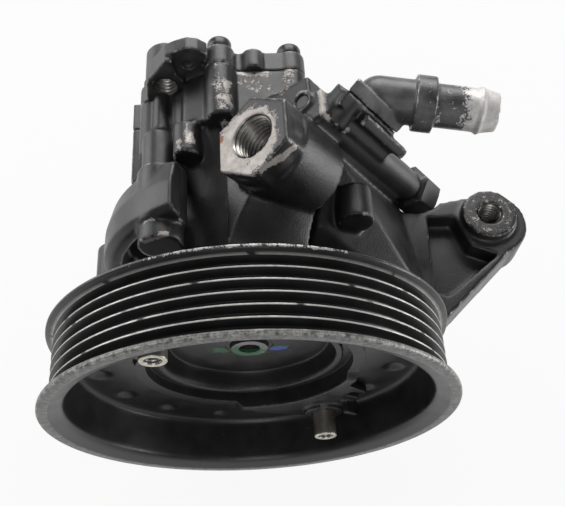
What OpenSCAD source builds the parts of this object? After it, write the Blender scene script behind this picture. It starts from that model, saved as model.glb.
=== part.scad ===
// Power steering vane pump with a six-groove belt pulley.
// The shaft lies along Y and the origin is at the middle of the belt track.
// The pulley's open front faces -Y and the pressure port points up and to the left.

/* [Pulley] */
// Number of belt grooves
groove_count = 6; // [4:1:7]
// Distance from groove to groove
groove_pitch = 3.56; // [3.2:0.01:3.9]
// Radius over the rib tips between the grooves
rib_tip_r = 61.3; // [58:0.1:68]
// Depth of a groove
groove_depth = 2.7; // [2:0.1:3]
// Height of the front lip above the rib tips
front_lip_rise = 3.1; // [1.5:0.1:4]
// Width of the front lip
front_lip_w = 2.6; // [2.2:0.1:4]
// Height of the rear lip above the rib tips
rear_lip_rise = 2.4; // [1.5:0.1:4]
// Width of the rear lip
rear_lip_w = 1.8; // [1.5:0.1:3]
// Wall of the rim below the grooves
rim_wall = 2.1; // [1.5:0.1:2.5]
// Front face of the web, measured from the middle of the belt track
web_y = 4; // [3:0.5:5]
// Thickness of the web
web_t = 4; // [3:0.5:5]
// Number of round dimples in the web
dimple_count = 15; // [8:1:20]
// Radius of a dimple
dimple_r = 3; // [2:0.1:3.5]
// Depth of a dimple
dimple_depth = 0.8; // [0.4:0.1:1.2]

/* [Drive hub] */
// Inner radius of the hub cup at its rim
cup_rim_r = 27.8; // [25:0.1:28.5]
// Radius of the flat floor of the hub cup
cup_floor_r = 20; // [14:0.5:23]
// Radius of the hub body that sits in the web
hub_body_r = 34; // [33:0.1:36]
// Thickness of the floor of the hub cup
cup_floor_t = 3.3; // [2.5:0.1:3.5]
// Thickness of the hub's ears on the web
ear_plate_t = 3; // [2:0.1:4]
// Distance from the sleeves' axes to the inside of the pulley's rim
sleeve_inset = 8.5; // [7.5:0.1:9.5]
// Angle of the first sleeve, seen along +Y from the right
sleeve_angle = -56.5; // [-70:0.5:-45]
// Outer radius of a sleeve
sleeve_r = 4; // [3.6:0.1:4.5]
// Core radius of the thread in a sleeve
sleeve_bore_r = 2.5; // [2:0.1:2.8]
// How far a sleeve stands out of its ear
sleeve_proud = 10; // [6:0.5:11]

/* [Shaft and bearing] */
// Radius of the shaft in the bearing
shaft_r = 7.5; // [7:0.1:8]
// Radius of the shaft's front end in the hub
shaft_end_r = 5.9; // [5.4:0.1:6.4]
// Core radius of the thread in the shaft's front end
shaft_tap_r = 3.5; // [2.5:0.1:3.8]
// Outer radius of the front ball bearing
bearing_r = 17.5; // [17:0.1:18.5]
// Width of the front ball bearing
bearing_w = 11; // [9:0.5:12]
// Number of bearing balls
ball_count = 8; // [6:1:8]
// Radius of a bearing ball
ball_r = 2.9; // [2.5:0.1:3]
// Outer radius of the shaft seal
seal_r = 13; // [11.5:0.1:14]
// Width of the shaft seal
seal_w = 6; // [5:0.5:7]

/* [Pumping parts] */
// Outer radius of the cam ring
cam_ring_r = 27; // [26:0.1:27.2]
// Width of the cam ring
cam_ring_w = 15; // [12:0.5:18]
// Lift of the cam on each side
cam_lift = 2.4; // [1.5:0.1:3]
// Radius of the rotor
rotor_r = 18; // [16.5:0.1:18.5]
// Number of vanes
vane_count = 10; // [8:1:12]
// Thickness of a vane
vane_t = 1.8; // [1.4:0.1:2]
// Height of a vane
vane_h = 7.6; // [6:0.1:7.8]
// Thickness of the front pressure plate
front_plate_t = 6; // [5:0.5:8]
// Thickness of the rear pressure plate
rear_plate_t = 5; // [4:0.5:7]
// Radius of a dowel pin
dowel_r = 1.5; // [1.2:0.1:1.6]

/* [Housing] */
// Free gap between the pulley and the housing
pulley_gap = 3; // [2.6:0.1:5]
// Length of the front housing up to the cover joint
housing_l = 82.5; // [80:0.5:86]
// Outer radius of the bearing snout
snout_r = 21; // [20.6:0.1:23]
// Outer radius of the housing barrel at the cover joint
barrel_r = 32; // [31.6:0.1:33.5]
// Outer radius of the bell shoulder on the left
bell_r = 47.5; // [46:0.5:49]
// Radius of the round mounting bosses behind the pulley
front_boss_r = 7; // [6:0.1:7.5]
// Angle of the valve barrel below the horizontal
valve_angle = 51.7; // [48:0.1:55]

/* [Valve] */
// Outer radius of the valve barrel
valve_barrel_r = 6; // [5.9:0.1:6.6]
// Radius of the valve bore
valve_bore_r = 4.3; // [4:0.1:4.6]
// Length of the valve spool
spool_l = 24; // [20:0.5:26]
// Size across the flats of the valve plug
plug_flats = 15; // [14:0.5:16]
// Height of the head of the valve plug
plug_head_l = 10; // [7:0.5:11]
// Radius of the wire of the valve spring
spring_wire_r = 0.6; // [0.4:0.05:0.8]
// Number of turns of the valve spring
spring_turns = 6; // [4:1:8]

/* [Ports] */
// Core radius of the thread in the pressure port
port_bore_r = 7.2; // [6.5:0.1:8]
// Depth of the threaded pressure port
port_depth = 15; // [12:0.5:16]
// Size across the flats of the pressure port's face
port_flats = 25.6; // [23:0.1:27]
// Radius of the suction stub that takes the hose
stub_r = 7.15; // [6.5:0.05:7.4]
// Length of the suction stub up to its bead
stub_l = 13.5; // [11:0.5:17]
// Radius of the passage through the suction elbow
suction_bore_r = 5.5; // [4.5:0.1:5.6]
// Thickness of the suction elbow's flange
elbow_flange_t = 4.6; // [4:0.1:5.5]

/* [Mounting ear] */
// Core radius of the thread in the mounting ear
ear_bore_r = 4.25; // [3.4:0.05:4.4]
// Depth of the threaded hole in the mounting ear
ear_bore_l = 17; // [14:0.5:17.5]
// Radius of the raised boss on the mounting ear
ear_boss_r = 9.7; // [9:0.1:10.5]
// Height of the mounting ear from its underside to the boss face
ear_h = 18; // [18:0.5:22]

/* [Cover] */
// Thickness of the rear cover's flange
cover_t = 8; // [7:0.5:10]
// Radius of the cover bolts
cover_bolt_r = 2.5; // [2.2:0.1:2.7]
// Radius of the circle through the cover bolts
cover_bolt_ring_r = 33.6; // [33.2:0.1:34.5]
// Core radius of the thread in the rear lug
lug_bore_r = 4.25; // [3.4:0.05:4.4]
// Length of the rear lug
lug_l = 14.5; // [13:0.5:17]

/* [Clearances] */
// Gap between pieces that are pressed or seated together
seat_gap = 0.05; // [0.03:0.01:0.08]
// Radial gap of pieces that turn or slide in each other
run_gap = 0.08; // [0.05:0.01:0.1]
// Gap between the rotor and the pieces beside and around it
rotor_gap = 0.35; // [0.3:0.01:0.5]

/* [Hidden] */
$fn = 64;

paint_black = [0.09, 0.09, 0.1];
ground_steel = [0.62, 0.63, 0.65];
plated_steel = [0.75, 0.74, 0.7];
seal_rubber = [0.12, 0.11, 0.1];
bush_bronze = [0.66, 0.52, 0.34];

// Pulley
track_half = groove_count * groove_pitch / 2;
pulley_front_y = -(track_half + front_lip_w);
pulley_rear_y = track_half + rear_lip_w;
groove_floor_r = rib_tip_r - groove_depth;
groove_floor_w = 0.9;
rib_tip_w = 0.6;
rim_in_r = groove_floor_r - rim_wall;
rim_draft = 1.0;
lip_chamfer = 0.7;
web_rear_y = web_y + web_t;

// Drive hub: the cup hangs in the web, the two ears lie on the web's front face
ear_front_y = web_y - ear_plate_t;
cup_rim_w = 2.2;
cup_rim_y = web_y + 1.5;
cup_floor_y = web_rear_y + 2.7;
hub_rear_y = cup_floor_y + cup_floor_t;
ring_groove_out_r = hub_body_r - 1;
ring_groove_y = web_rear_y + 0.5;
hub_plate_r = hub_body_r + 3;
sleeve_ring_r = rim_in_r - rim_draft - sleeve_inset;
hub_ear_r = sleeve_inset - 0.6;
collar_r = hub_ear_r - 0.9;
collar_h = 1.5;
sleeve_tip_y = ear_front_y - sleeve_proud;
tab_w = 2.2;
tab_h = 4.5;
tab_turn = 14;
notch_turn = 22;
notch_w = 3.2;

// Stack along the shaft, from the housing's snout to the rear cover
snout_y = pulley_rear_y + pulley_gap;
joint_y = snout_y + housing_l;
circlip_y = snout_y + 1.4;
circlip_t = 1.2;
bearing_y = circlip_y + circlip_t + seat_gap;
seal_y = bearing_y + bearing_w + 3;
rear_plate_y = joint_y - rear_plate_t - seat_gap;
cam_ring_y = rear_plate_y - cam_ring_w - seat_gap;
front_plate_y = cam_ring_y - front_plate_t - seat_gap;
cavity_y = front_plate_y - seat_gap;
cavity_r = cam_ring_r + 0.25;
cover_rear_y = joint_y + cover_t;
shaft_front_y = cup_floor_y - 1;
bush_l = 10;
bush_r = 9;
journal_r = shaft_r - 1;
shaft_rear_y = joint_y + bush_l - 1;

// Ball bearing: ball circle, ring shoulders and races
ball_ring_r = (bearing_r + shaft_r) / 2;
race_r = ball_r + rotor_gap;
ring_gap = ball_r * 0.62;
cage_t = 1.1;
inner_ring_r = ball_ring_r - ring_gap;
outer_ring_in_r = ball_ring_r + ring_gap;
bearing_mid_y = bearing_y + bearing_w / 2;

// Pumping parts
rotor_w = cam_ring_w - 2 * rotor_gap;
rotor_y = cam_ring_y + rotor_gap;
vane_root_r = rotor_r - vane_h - 0.2;
dowel_ring_r = (cam_ring_r + rotor_r + rotor_gap + cam_lift) / 2;
dowel_turn = 45;
o_ring_wire_r = 0.9;
o_ring_groove = 2 * o_ring_wire_r + 0.1;
cover_o_ring_r = cavity_r + 1.8;

// Valve, in its own frame: X runs down the barrel, Z points out of the housing
flange_y = joint_y - 26.5;
flange_n = 47.1;
valve_y = flange_y - 0.75;
valve_n = flange_n - 1;
barrel_u0 = -20.5;
barrel_u1 = 38;
plug_thread_l = 8;
plug_u0 = barrel_u1 - plug_thread_l;
bore_u0 = -11;
spool_u0 = bore_u0 + 0.4;
spool_u1 = spool_u0 + spool_l;
spool_cup_r = valve_bore_r - 1.6;
spool_cup_l = 8;
spring_r = spool_cup_r - spring_wire_r - 0.3;
spring_u0 = spool_u1 - spool_cup_l + rotor_gap;
spring_u1 = plug_u0 - 0.1;
plug_o_ring_wire_r = 0.8;
plug_groove_u = plug_u0 + 3;
plug_groove_w = 2 * plug_o_ring_wire_r + 0.1;

// Ports, in the valve's frame
port_y = joint_y - 40.5;
port_n = 33.2;
port_u = -37;
port_hex_l = 9;
port_boss_r = port_flats / 2;
passage_r = 2.5;
seal_plug_u = -22;
seal_plug_y = flange_y + 3;
seal_plug_n = flange_n - 4.6;
seal_plug_r = 2.3;
seal_plug_l = 5;

// Suction flange, in the valve's frame tilted about its X: Z points out of the flange
flange_tilt = 31.7;
flange_p = valve_barrel_r + 3.9;
suction_u = -1.5;
suction_q = 1;
flange_front_q = -8;
elbow_dir = [0.62, -0.555, 0.557];
bend_p = flange_p + elbow_flange_t;
elbow_r = suction_bore_r + 2;
elbow_bolt_r = 2.5;
elbow_bolt_u = 7;
elbow_bolt_q = 12;
elbow_bolt_l = 10;
elbow_ear_r = elbow_bolt_r + 2.5;
elbow_groove_r = suction_bore_r + 0.6;

// Mounting ear, seen from above
ear_x = 87.7;
ear_y = joint_y - 40.3;
ear_top_z = 0;
arm_top_z = ear_top_z - 3.5;
ear_base_z = ear_top_z - ear_h;

// Rear cover, with the pads that it shares with the housing as [x, z] corners
cover_bolt_turns = [58, 101, 155, 215, 270, 332];
cover_boss_r = cover_bolt_r + 2.7;
cover_hub_r = bush_r + 5;
cover_hub_l = 6;
bolt_head_h = 4.5;
bolt_head_r = cover_bolt_r + 1.7;
bolt_thread_l = 14;
lug_x = -25.5;
lug_z = 25.7;
lug_r = 6.9;
side_pad = [[-40, -15], [-24, 3]];
top_pad = [[-6, 10], [18, 33]];

function polar(r, turn) = [r * cos(turn), r * sin(turn)];

// Revolves a profile of [radius, y] points about the shaft
module turned(points) {
    rotate([-90, 0, 0]) rotate_extrude() polygon(points);
}

// Cylinder along the shaft from y0 to y1 at [x, z]
module rod_y(r, y0, y1, x = 0, z = 0) {
    translate([x, y0, z]) rotate([-90, 0, 0]) cylinder(r = r, h = y1 - y0);
}

// Extrudes an outline drawn in [x, z] along the shaft from y0 to y1
module slab_y(y0, y1) {
    translate([0, y1, 0]) rotate([90, 0, 0]) linear_extrude(y1 - y0) children();
}

// Places children in the valve's frame
module in_valve_frame() {
    rotate([0, valve_angle, 0]) children();
}

// Places children beside the barrel with Z out of the suction flange
module in_flange_frame() {
    in_valve_frame() translate([0, flange_y, flange_n]) rotate([-flange_tilt, 0, 0]) children();
}

// Cylinder along the valve barrel from u0 to u1, in the valve's frame
module rod_u(r, u0, u1, y, n) {
    translate([u0, y, n]) rotate([0, 90, 0]) cylinder(r = r, h = u1 - u0);
}

// Cylinder between two points
module rod_between(r, a, b) {
    along = b - a;
    translate(a) rotate([0, acos(along[2] / norm(along)), atan2(along[1], along[0])])
        cylinder(r = r, h = norm(along));
}

// Box between two corners
module box_between(low, high) {
    translate(low) cube(high - low);
}

// Box along the shaft from y0 to y1 over a pad given by its [x, z] corners
module pad_y(pad, y0, y1) {
    box_between([pad[0][0], y0, pad[0][1]], [pad[1][0], y1, pad[1][1]]);
}

// Ring cut for an O-ring round the shaft
module groove_ring(r, y, depth) {
    turned([
        [r - o_ring_groove / 2, y],
        [r + o_ring_groove / 2, y],
        [r + o_ring_groove / 2, y + depth],
        [r - o_ring_groove / 2, y + depth]
    ]);
}

module pulley() {
    groove_points = [
        for (i = [0 : groove_count - 1])
            let (mid = -track_half + (i + 0.5) * groove_pitch)
                each [
                    [rib_tip_r, mid - (groove_pitch - rib_tip_w) / 2],
                    [groove_floor_r, mid - groove_floor_w / 2],
                    [groove_floor_r, mid + groove_floor_w / 2],
                    [rib_tip_r, mid + (groove_pitch - rib_tip_w) / 2]
                ]
    ];
    front_lip = [
        [rim_in_r + 1.5, pulley_front_y],
        [rib_tip_r + front_lip_rise - lip_chamfer, pulley_front_y],
        [rib_tip_r + front_lip_rise, pulley_front_y + lip_chamfer],
        [rib_tip_r + front_lip_rise, pulley_front_y + front_lip_w / 2]
    ];
    rear_lip = [
        [rib_tip_r + rear_lip_rise, pulley_rear_y - rear_lip_w / 2],
        [rib_tip_r + rear_lip_rise, pulley_rear_y - lip_chamfer / 2],
        [rib_tip_r + rear_lip_rise - lip_chamfer / 2, pulley_rear_y]
    ];
    inside = [
        [rim_in_r, pulley_rear_y],
        [rim_in_r - rim_draft, web_rear_y],
        [hub_body_r + seat_gap, web_rear_y],
        [hub_body_r + seat_gap, web_y],
        [rim_in_r - rim_draft - 1, web_y],
        [rim_in_r - rim_draft, web_y - 1],
        [rim_in_r, pulley_front_y + 2]
    ];
    color(paint_black) difference() {
        turned(concat(front_lip, groove_points, rear_lip, inside));
        for (i = [0 : dimple_count - 1])
            rotate([0, -i * 360 / dimple_count - sleeve_angle, 0])
                rod_y(dimple_r, web_y - 1, web_y + dimple_depth, sleeve_ring_r + 1);
        for (side = [0, 180])
            rotate([0, -sleeve_angle - side, 0])
                rod_y(sleeve_r + seat_gap, web_y - 2, web_rear_y + 1, sleeve_ring_r);
    }
}

module hub_ear() {
    ear_outline = [
        polar(hub_body_r, -36), polar(hub_plate_r + 3, -31), polar(sleeve_ring_r + hub_ear_r / 2, -8),
        polar(sleeve_ring_r + hub_ear_r / 2, 8), polar(sleeve_ring_r - 1, 27), polar(hub_body_r, 33)
    ];
    slab_y(ear_front_y, web_y) difference() {
        union() {
            polygon(ear_outline);
            translate([sleeve_ring_r, 0]) circle(hub_ear_r);
        }
        circle(ring_groove_out_r + 0.5);
        rotate(notch_turn) translate([hub_plate_r + 4, -notch_w / 2]) square([20, notch_w]);
    }
    rod_y(collar_r, ear_front_y - collar_h, ear_front_y + 0.5, sleeve_ring_r);
    rotate([0, -tab_turn, 0])
        box_between(
            [sleeve_ring_r - 3, ear_front_y - tab_h, -tab_w / 2],
            [sleeve_ring_r + 3, ear_front_y + 0.5, tab_w / 2]
        );
}

module drive_hub() {
    color(paint_black) difference() {
        union() {
            turned([
                [shaft_end_r + seat_gap, cup_floor_y],
                [cup_floor_r, cup_floor_y],
                [cup_rim_r, cup_rim_y],
                [cup_rim_r + cup_rim_w, cup_rim_y],
                [cup_rim_r + cup_rim_w, ring_groove_y],
                [ring_groove_out_r, ring_groove_y],
                [ring_groove_out_r, ear_front_y],
                [hub_plate_r, ear_front_y],
                [hub_plate_r, web_y],
                [hub_body_r, web_y],
                [hub_body_r, web_rear_y + 2],
                [cup_rim_r, hub_rear_y],
                [shaft_end_r + seat_gap, hub_rear_y]
            ]);
            for (side = [0, 180])
                rotate([0, -sleeve_angle - side, 0]) hub_ear();
        }
        for (side = [0, 180])
            rotate([0, -sleeve_angle - side, 0])
                rod_y(sleeve_r + seat_gap, ear_front_y - collar_h - 1, web_y + 1, sleeve_ring_r);
    }
}

module threaded_sleeves() {
    color(plated_steel)
        for (side = [0, 180])
            rotate([0, -sleeve_angle - side, 0]) difference() {
                rod_y(sleeve_r, sleeve_tip_y, web_rear_y, sleeve_ring_r);
                rod_y(sleeve_bore_r, sleeve_tip_y - 1, web_rear_y + 1, sleeve_ring_r);
            }
}

module drive_shaft() {
    tap_l = 16;
    color(ground_steel) difference() {
        turned([
            [0, shaft_front_y],
            [shaft_end_r, shaft_front_y],
            [shaft_end_r, hub_rear_y + seat_gap],
            [shaft_r, hub_rear_y + seat_gap],
            [shaft_r, cavity_y - 1],
            [shaft_r - 0.5, cavity_y - 1],
            [shaft_r - 0.5, rear_plate_y],
            [journal_r, rear_plate_y],
            [journal_r, shaft_rear_y],
            [0, shaft_rear_y]
        ]);
        rod_y(shaft_tap_r, shaft_front_y - 1, shaft_front_y + tap_l);
    }
}

module rotor() {
    color(ground_steel) difference() {
        rod_y(rotor_r, rotor_y, rotor_y + rotor_w);
        rod_y(shaft_r - 0.5 + seat_gap, rotor_y - 1, rotor_y + rotor_w + 1);
        for (i = [0 : vane_count - 1])
            rotate([0, i * 360 / vane_count, 0])
                box_between(
                    [vane_root_r, rotor_y - 1, -vane_t / 2 - seat_gap],
                    [rotor_r + 2, rotor_y + rotor_w + 1, vane_t / 2 + seat_gap]
                );
    }
}

module vanes() {
    color(plated_steel)
        for (i = [0 : vane_count - 1])
            rotate([0, i * 360 / vane_count, 0])
                box_between(
                    [rotor_r - 0.1 - vane_h, rotor_y + run_gap, -vane_t / 2],
                    [rotor_r - 0.1, rotor_y + rotor_w - run_gap, vane_t / 2]
                );
}

module race() {
    rotate([-90, 0, 0]) rotate_extrude() translate([ball_ring_r, bearing_mid_y]) circle(race_r, $fn = 48);
}

module bearing_inner_ring() {
    color(ground_steel) difference() {
        rod_y(inner_ring_r, bearing_y, bearing_y + bearing_w);
        rod_y(shaft_r + seat_gap, bearing_y - 1, bearing_y + bearing_w + 1);
        race();
    }
}

module bearing_outer_ring() {
    color(ground_steel) difference() {
        rod_y(bearing_r, bearing_y, bearing_y + bearing_w);
        rod_y(outer_ring_in_r, bearing_y - 1, bearing_y + bearing_w + 1);
        race();
    }
}

module bearing_balls() {
    color(plated_steel)
        for (i = [0 : ball_count - 1])
            rotate([0, i * 360 / ball_count, 0]) translate([ball_ring_r, bearing_mid_y, 0]) sphere(ball_r);
}

module bearing_cage() {
    cage_half = ball_r + 0.9;
    color(bush_bronze) difference() {
        rod_y(ball_ring_r + cage_t / 2, bearing_mid_y - cage_half, bearing_mid_y + cage_half);
        rod_y(ball_ring_r - cage_t / 2, bearing_mid_y - cage_half - 1, bearing_mid_y + cage_half + 1);
        for (i = [0 : ball_count - 1])
            rotate([0, i * 360 / ball_count, 0]) translate([0, bearing_mid_y, 0]) rotate([0, 90, 0])
                cylinder(r = ball_r + seat_gap, h = bearing_r);
    }
}

module bearing_circlip() {
    clip_h = 2.6;
    clip_out_r = bearing_r + 0.9;
    mouth_turn = 24;
    mouth = [[0, 0], polar(2 * clip_out_r, 90 - mouth_turn / 2), polar(2 * clip_out_r, 90 + mouth_turn / 2)];
    color(ground_steel) slab_y(circlip_y, circlip_y + circlip_t) difference() {
        circle(clip_out_r);
        circle(clip_out_r - clip_h);
        polygon(mouth);
    }
}

module shaft_seal() {
    lip_l = 1.2;
    seal_wall = 1.6;
    color(seal_rubber) turned([
        [seal_r, seal_y],
        [seal_r, seal_y + seal_w],
        [seal_r - seal_wall, seal_y + seal_w],
        [seal_r - seal_wall, seal_y + seal_wall],
        [shaft_r + 1.8, seal_y + seal_wall],
        [shaft_r + 1.8, seal_y + seal_w - 1],
        [shaft_r + run_gap, seal_y + seal_w - 1 - lip_l / 2],
        [shaft_r + 0.8, seal_y + seal_wall],
        [shaft_r + 0.8, seal_y]
    ]);
}

// Kidney-shaped opening through a pressure plate
module kidney(start, r0, r1, y0, y1) {
    rotate([0, -start, 0]) rotate([-90, 0, 0])
        rotate_extrude(angle = 44) translate([r0, y0]) square([r1 - r0, y1 - y0]);
}

module pressure_plate(y, t, bore) {
    color(ground_steel) difference() {
        rod_y(cam_ring_r, y, y + t);
        rod_y(bore, y - 1, y + t + 1);
        for (start = [22, 112, 202, 292])
            kidney(start, rotor_r - 2, rotor_r + cam_lift / 2, y - 1, y + t + 1);
        for (side = [0, 180])
            rotate([0, -dowel_turn - side, 0])
                rod_y(dowel_r + seat_gap, y - 1, y + t + 1, dowel_ring_r);
    }
}

module front_pressure_plate() {
    pressure_plate(front_plate_y, front_plate_t, shaft_r - 0.5 + rotor_gap);
}

module rear_pressure_plate() {
    pressure_plate(rear_plate_y, rear_plate_t, shaft_r - 0.5 + rotor_gap);
}

module cam_ring() {
    steps = 96;
    cam_profile = [
        for (i = [0 : steps - 1])
            let (turn = i * 360 / steps)
                polar(rotor_r + rotor_gap + cam_lift * (1 - cos(2 * (turn - dowel_turn))) / 2, turn)
    ];
    color(ground_steel) difference() {
        rod_y(cam_ring_r, cam_ring_y, cam_ring_y + cam_ring_w);
        slab_y(cam_ring_y - 1, cam_ring_y + cam_ring_w + 1) polygon(cam_profile);
        for (side = [0, 180])
            rotate([0, -dowel_turn - side, 0])
                rod_y(dowel_r + seat_gap, cam_ring_y - 1, cam_ring_y + cam_ring_w + 1, dowel_ring_r);
    }
}

module dowel_pins() {
    color(plated_steel)
        for (side = [0, 180])
            rotate([0, -dowel_turn - side, 0])
                rod_y(dowel_r, front_plate_y + 0.5, rear_plate_y + rear_plate_t - 0.5, dowel_ring_r);
}

module cover_o_ring() {
    color(seal_rubber) rotate([-90, 0, 0]) rotate_extrude()
        translate([cover_o_ring_r, joint_y - o_ring_wire_r - 0.02]) circle(o_ring_wire_r, $fn = 24);
}

module rear_bush() {
    color(bush_bronze) difference() {
        rod_y(bush_r, joint_y + 0.5, joint_y + bush_l);
        rod_y(journal_r + run_gap, joint_y - 1, joint_y + bush_l + 1);
    }
}

// Radius that swells smoothly from r0 to r1 while t runs from 0 to 1
function swell(r0, r1, t) = r0 + (r1 - r0) * (1 - cos(180 * t)) / 2;

module housing_core() {
    dome_start_y = snout_y + 27;
    dome_l = 43;
    steps = 20;
    turned(concat(
        [[0, snout_y], [snout_r, snout_y]],
        [for (i = [0 : steps]) [swell(snout_r, barrel_r, i / steps), dome_start_y + dome_l * i / steps]],
        [[barrel_r, joint_y], [0, joint_y]]
    ));
}

// Sector of a solid of revolution about the shaft, from one angle to a larger one
module sector(from, to, points) {
    rotate([0, -from, 0]) rotate([-90, 0, 0]) rotate_extrude(angle = from - to) polygon(points);
}

// Bell shoulder round the left side of the housing, coned towards its back
module housing_bell() {
    bell_front_y = snout_y + 22;
    bell_edge_y = snout_y + 32.5;
    bell_rear_y = snout_y + 41;
    bell_wall = 6;
    bell_drop = 2;
    disc_t = 6;
    sector(117, 224, [
        [bell_r - bell_wall, bell_front_y],
        [bell_r - 2, bell_front_y],
        [bell_r, bell_front_y + 2],
        [bell_r, bell_edge_y],
        [bell_r - bell_drop, bell_rear_y - 0.8],
        [bell_r - bell_drop - 0.8, bell_rear_y],
        [bell_r - bell_wall, bell_rear_y]
    ]);
    sector(160, 222, [
        [10, bell_rear_y - disc_t],
        [10, bell_rear_y - 0.5],
        [bell_r - bell_wall + 1, bell_rear_y - 0.5],
        [bell_r - bell_wall + 1, bell_rear_y - disc_t]
    ]);
}

// Swelling round the pressure passage, between the port and the wing
module housing_bulge() {
    bulge_r0 = 31;
    bulge_r1 = 44;
    bulge_y = snout_y + 14.5;
    bulge_l = 36;
    steps = 16;
    difference() {
        sector(50, 100, concat(
            [for (i = [0 : steps]) [swell(bulge_r0, bulge_r1, i / steps), bulge_y + bulge_l * i / steps]],
            [[10, bulge_y + bulge_l], [10, bulge_y]]
        ));
        in_valve_frame()
            box_between([port_u - 30, bulge_y - 1, 0], [port_u + port_hex_l + 1, joint_y, 2 * bulge_r1]);
    }
}

// Mounting bosses that face the pulley
module housing_front_bosses() {
    upper_boss = [-25.5, 30];
    left_boss = [-46, -12];
    right_boss = [35.8, 23];
    collar_rise = 0.9;
    upper_rear_y = joint_y - 40;
    side_front_y = snout_y + 26;
    rod_y(front_boss_r, snout_y + 16, upper_rear_y, upper_boss[0], upper_boss[1]);
    rod_y(front_boss_r + collar_rise, snout_y + 22.5, upper_rear_y, upper_boss[0], upper_boss[1]);
    rod_y(front_boss_r, side_front_y, snout_y + 39.5, left_boss[0], left_boss[1]);
    rod_y(front_boss_r - 1.1, side_front_y, joint_y - 44, right_boss[0], right_boss[1]);
}

// Drum, slim column, stub boss and flat wall on the left, between the bell and the cover
module housing_left_side() {
    drum = [-27.9, 18.2];
    drum_r = 6;
    drum_rear_y = joint_y - 17;
    drum_cone = 2.5;
    column = [-27.1, 20.1];
    column_r = 3.2;
    column_y = joint_y - 20;
    stub_boss = [-18, 26.7];
    stub_boss_r = 4.6;
    wall = [[-20.5, 22], [-19.3, 28], [-12, 31.8], [-8, 20]];
    rod_y(drum_r, snout_y + 38, drum_rear_y, drum[0], drum[1]);
    translate([drum[0], drum_rear_y, drum[1]]) rotate([-90, 0, 0])
        cylinder(r1 = drum_r, r2 = drum_r - 2, h = drum_cone);
    rod_y(column_r, column_y - 1, joint_y, column[0], column[1]);
    rod_y(stub_boss_r, column_y - 11.5, column_y + 1, stub_boss[0], stub_boss[1]);
    slab_y(column_y, joint_y) polygon(wall);
    pad_y(side_pad, joint_y - 24, joint_y);
}

// Bosses of the cover bolts, with the flat between the two on top
module housing_bolt_bosses() {
    boss_l = 22;
    for (turn = cover_bolt_turns)
        rod_y(cover_boss_r, joint_y - boss_l, joint_y,
            cover_bolt_ring_r * cos(turn), cover_bolt_ring_r * sin(turn));
    pad_y(top_pad, joint_y - boss_l - 4, joint_y);
}

// Valve barrel with the block beside it, and the pressure port's boss and hexagon
module housing_valve_block() {
    block_u0 = -22;
    block_u1 = -10;
    root_n = 18;
    in_valve_frame() {
        rod_u(valve_barrel_r, barrel_u0, barrel_u1, valve_y, valve_n);
        box_between([block_u0, flange_y - 5.5, seal_plug_n - 4.5], [block_u1, flange_y + 5, flange_n + 2.7]);
        box_between([block_u0 + 2, flange_y - 7.5, root_n], [barrel_u1 - 5, joint_y - 12, flange_n - 3]);
        rod_u(seal_plug_r + 1.9, block_u0 - 1, block_u1 + 5, seal_plug_y, seal_plug_n);
        rod_u(port_boss_r + 0.6, port_u + 3.5, block_u1 + 1, port_y, port_n);
        rod_u(port_boss_r + 1.6, port_u + port_hex_l - 0.6, block_u1 + 1.7, port_y, port_n);
        translate([port_u, port_y, port_n]) rotate([0, 90, 0]) rotate(30)
            cylinder(r = port_flats / sqrt(3), h = port_hex_l, $fn = 6);
    }
}

// Outline of the suction flange in [u, q], drawn in by inset on the side of the ledge
module flange_outline(inset) {
    polygon([
        [-22.3 + inset, flange_front_q + inset],
        [6.5, flange_front_q + inset],
        [elbow_bolt_u + elbow_ear_r, elbow_bolt_q],
        [elbow_bolt_u, elbow_bolt_q + elbow_ear_r],
        [-9, 6]
    ]);
}

// Suction boss with its ledge, and the boss for the elbow's bolt
module housing_suction_boss() {
    ledge_p = flange_p - 5.5;
    ledge_t = 3.8;
    ledge_q = flange_front_q - 3;
    ledge_u0 = -11.5;
    ledge_u1 = 12;
    root_p = -8;
    rest_u = -15;
    rest_r = 5.5;
    in_flange_frame() {
        translate([0, 0, ledge_p]) linear_extrude(flange_p - ledge_p) flange_outline(0.5);
        translate([rest_u, flange_front_q + rest_r, -1]) cylinder(r = rest_r, h = flange_p + 0.6);
        box_between([ledge_u0, ledge_q, ledge_p], [ledge_u1, 0, ledge_p + ledge_t]);
        translate([ledge_u1, ledge_q + ledge_t + 0.2, ledge_p]) cylinder(r = ledge_t, h = ledge_t - 0.3);
        box_between([ledge_u0 + 0.5, flange_front_q + 1, 0], [ledge_u1, 0, ledge_p + 1]);
        translate([elbow_bolt_u, elbow_bolt_q, root_p]) cylinder(r = elbow_ear_r - 0.3, h = ledge_p + 1 - root_p);
        box_between(
            [elbow_bolt_u - elbow_ear_r + 1, 0, root_p],
            [elbow_bolt_u + elbow_ear_r - 1, elbow_bolt_q, ledge_p + 0.5]
        );
    }
}

// Wing from the barrel to the ear, with its top falling towards the pulley
module housing_wing() {
    post_r = 2;
    posts = [
        [36, joint_y - 24, 15], [55, joint_y - 26, -7], [28.5, joint_y - 32, 30],
        [24.5, snout_y + 28, 22], [19, snout_y + 20, 12], [63, snout_y + 5, -7]
    ];
    hull() {
        for (post = posts)
            translate([post[0], post[1], ear_base_z])
                cylinder(r = post_r, h = post[2] - ear_base_z, $fn = 24);
    }
}

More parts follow.
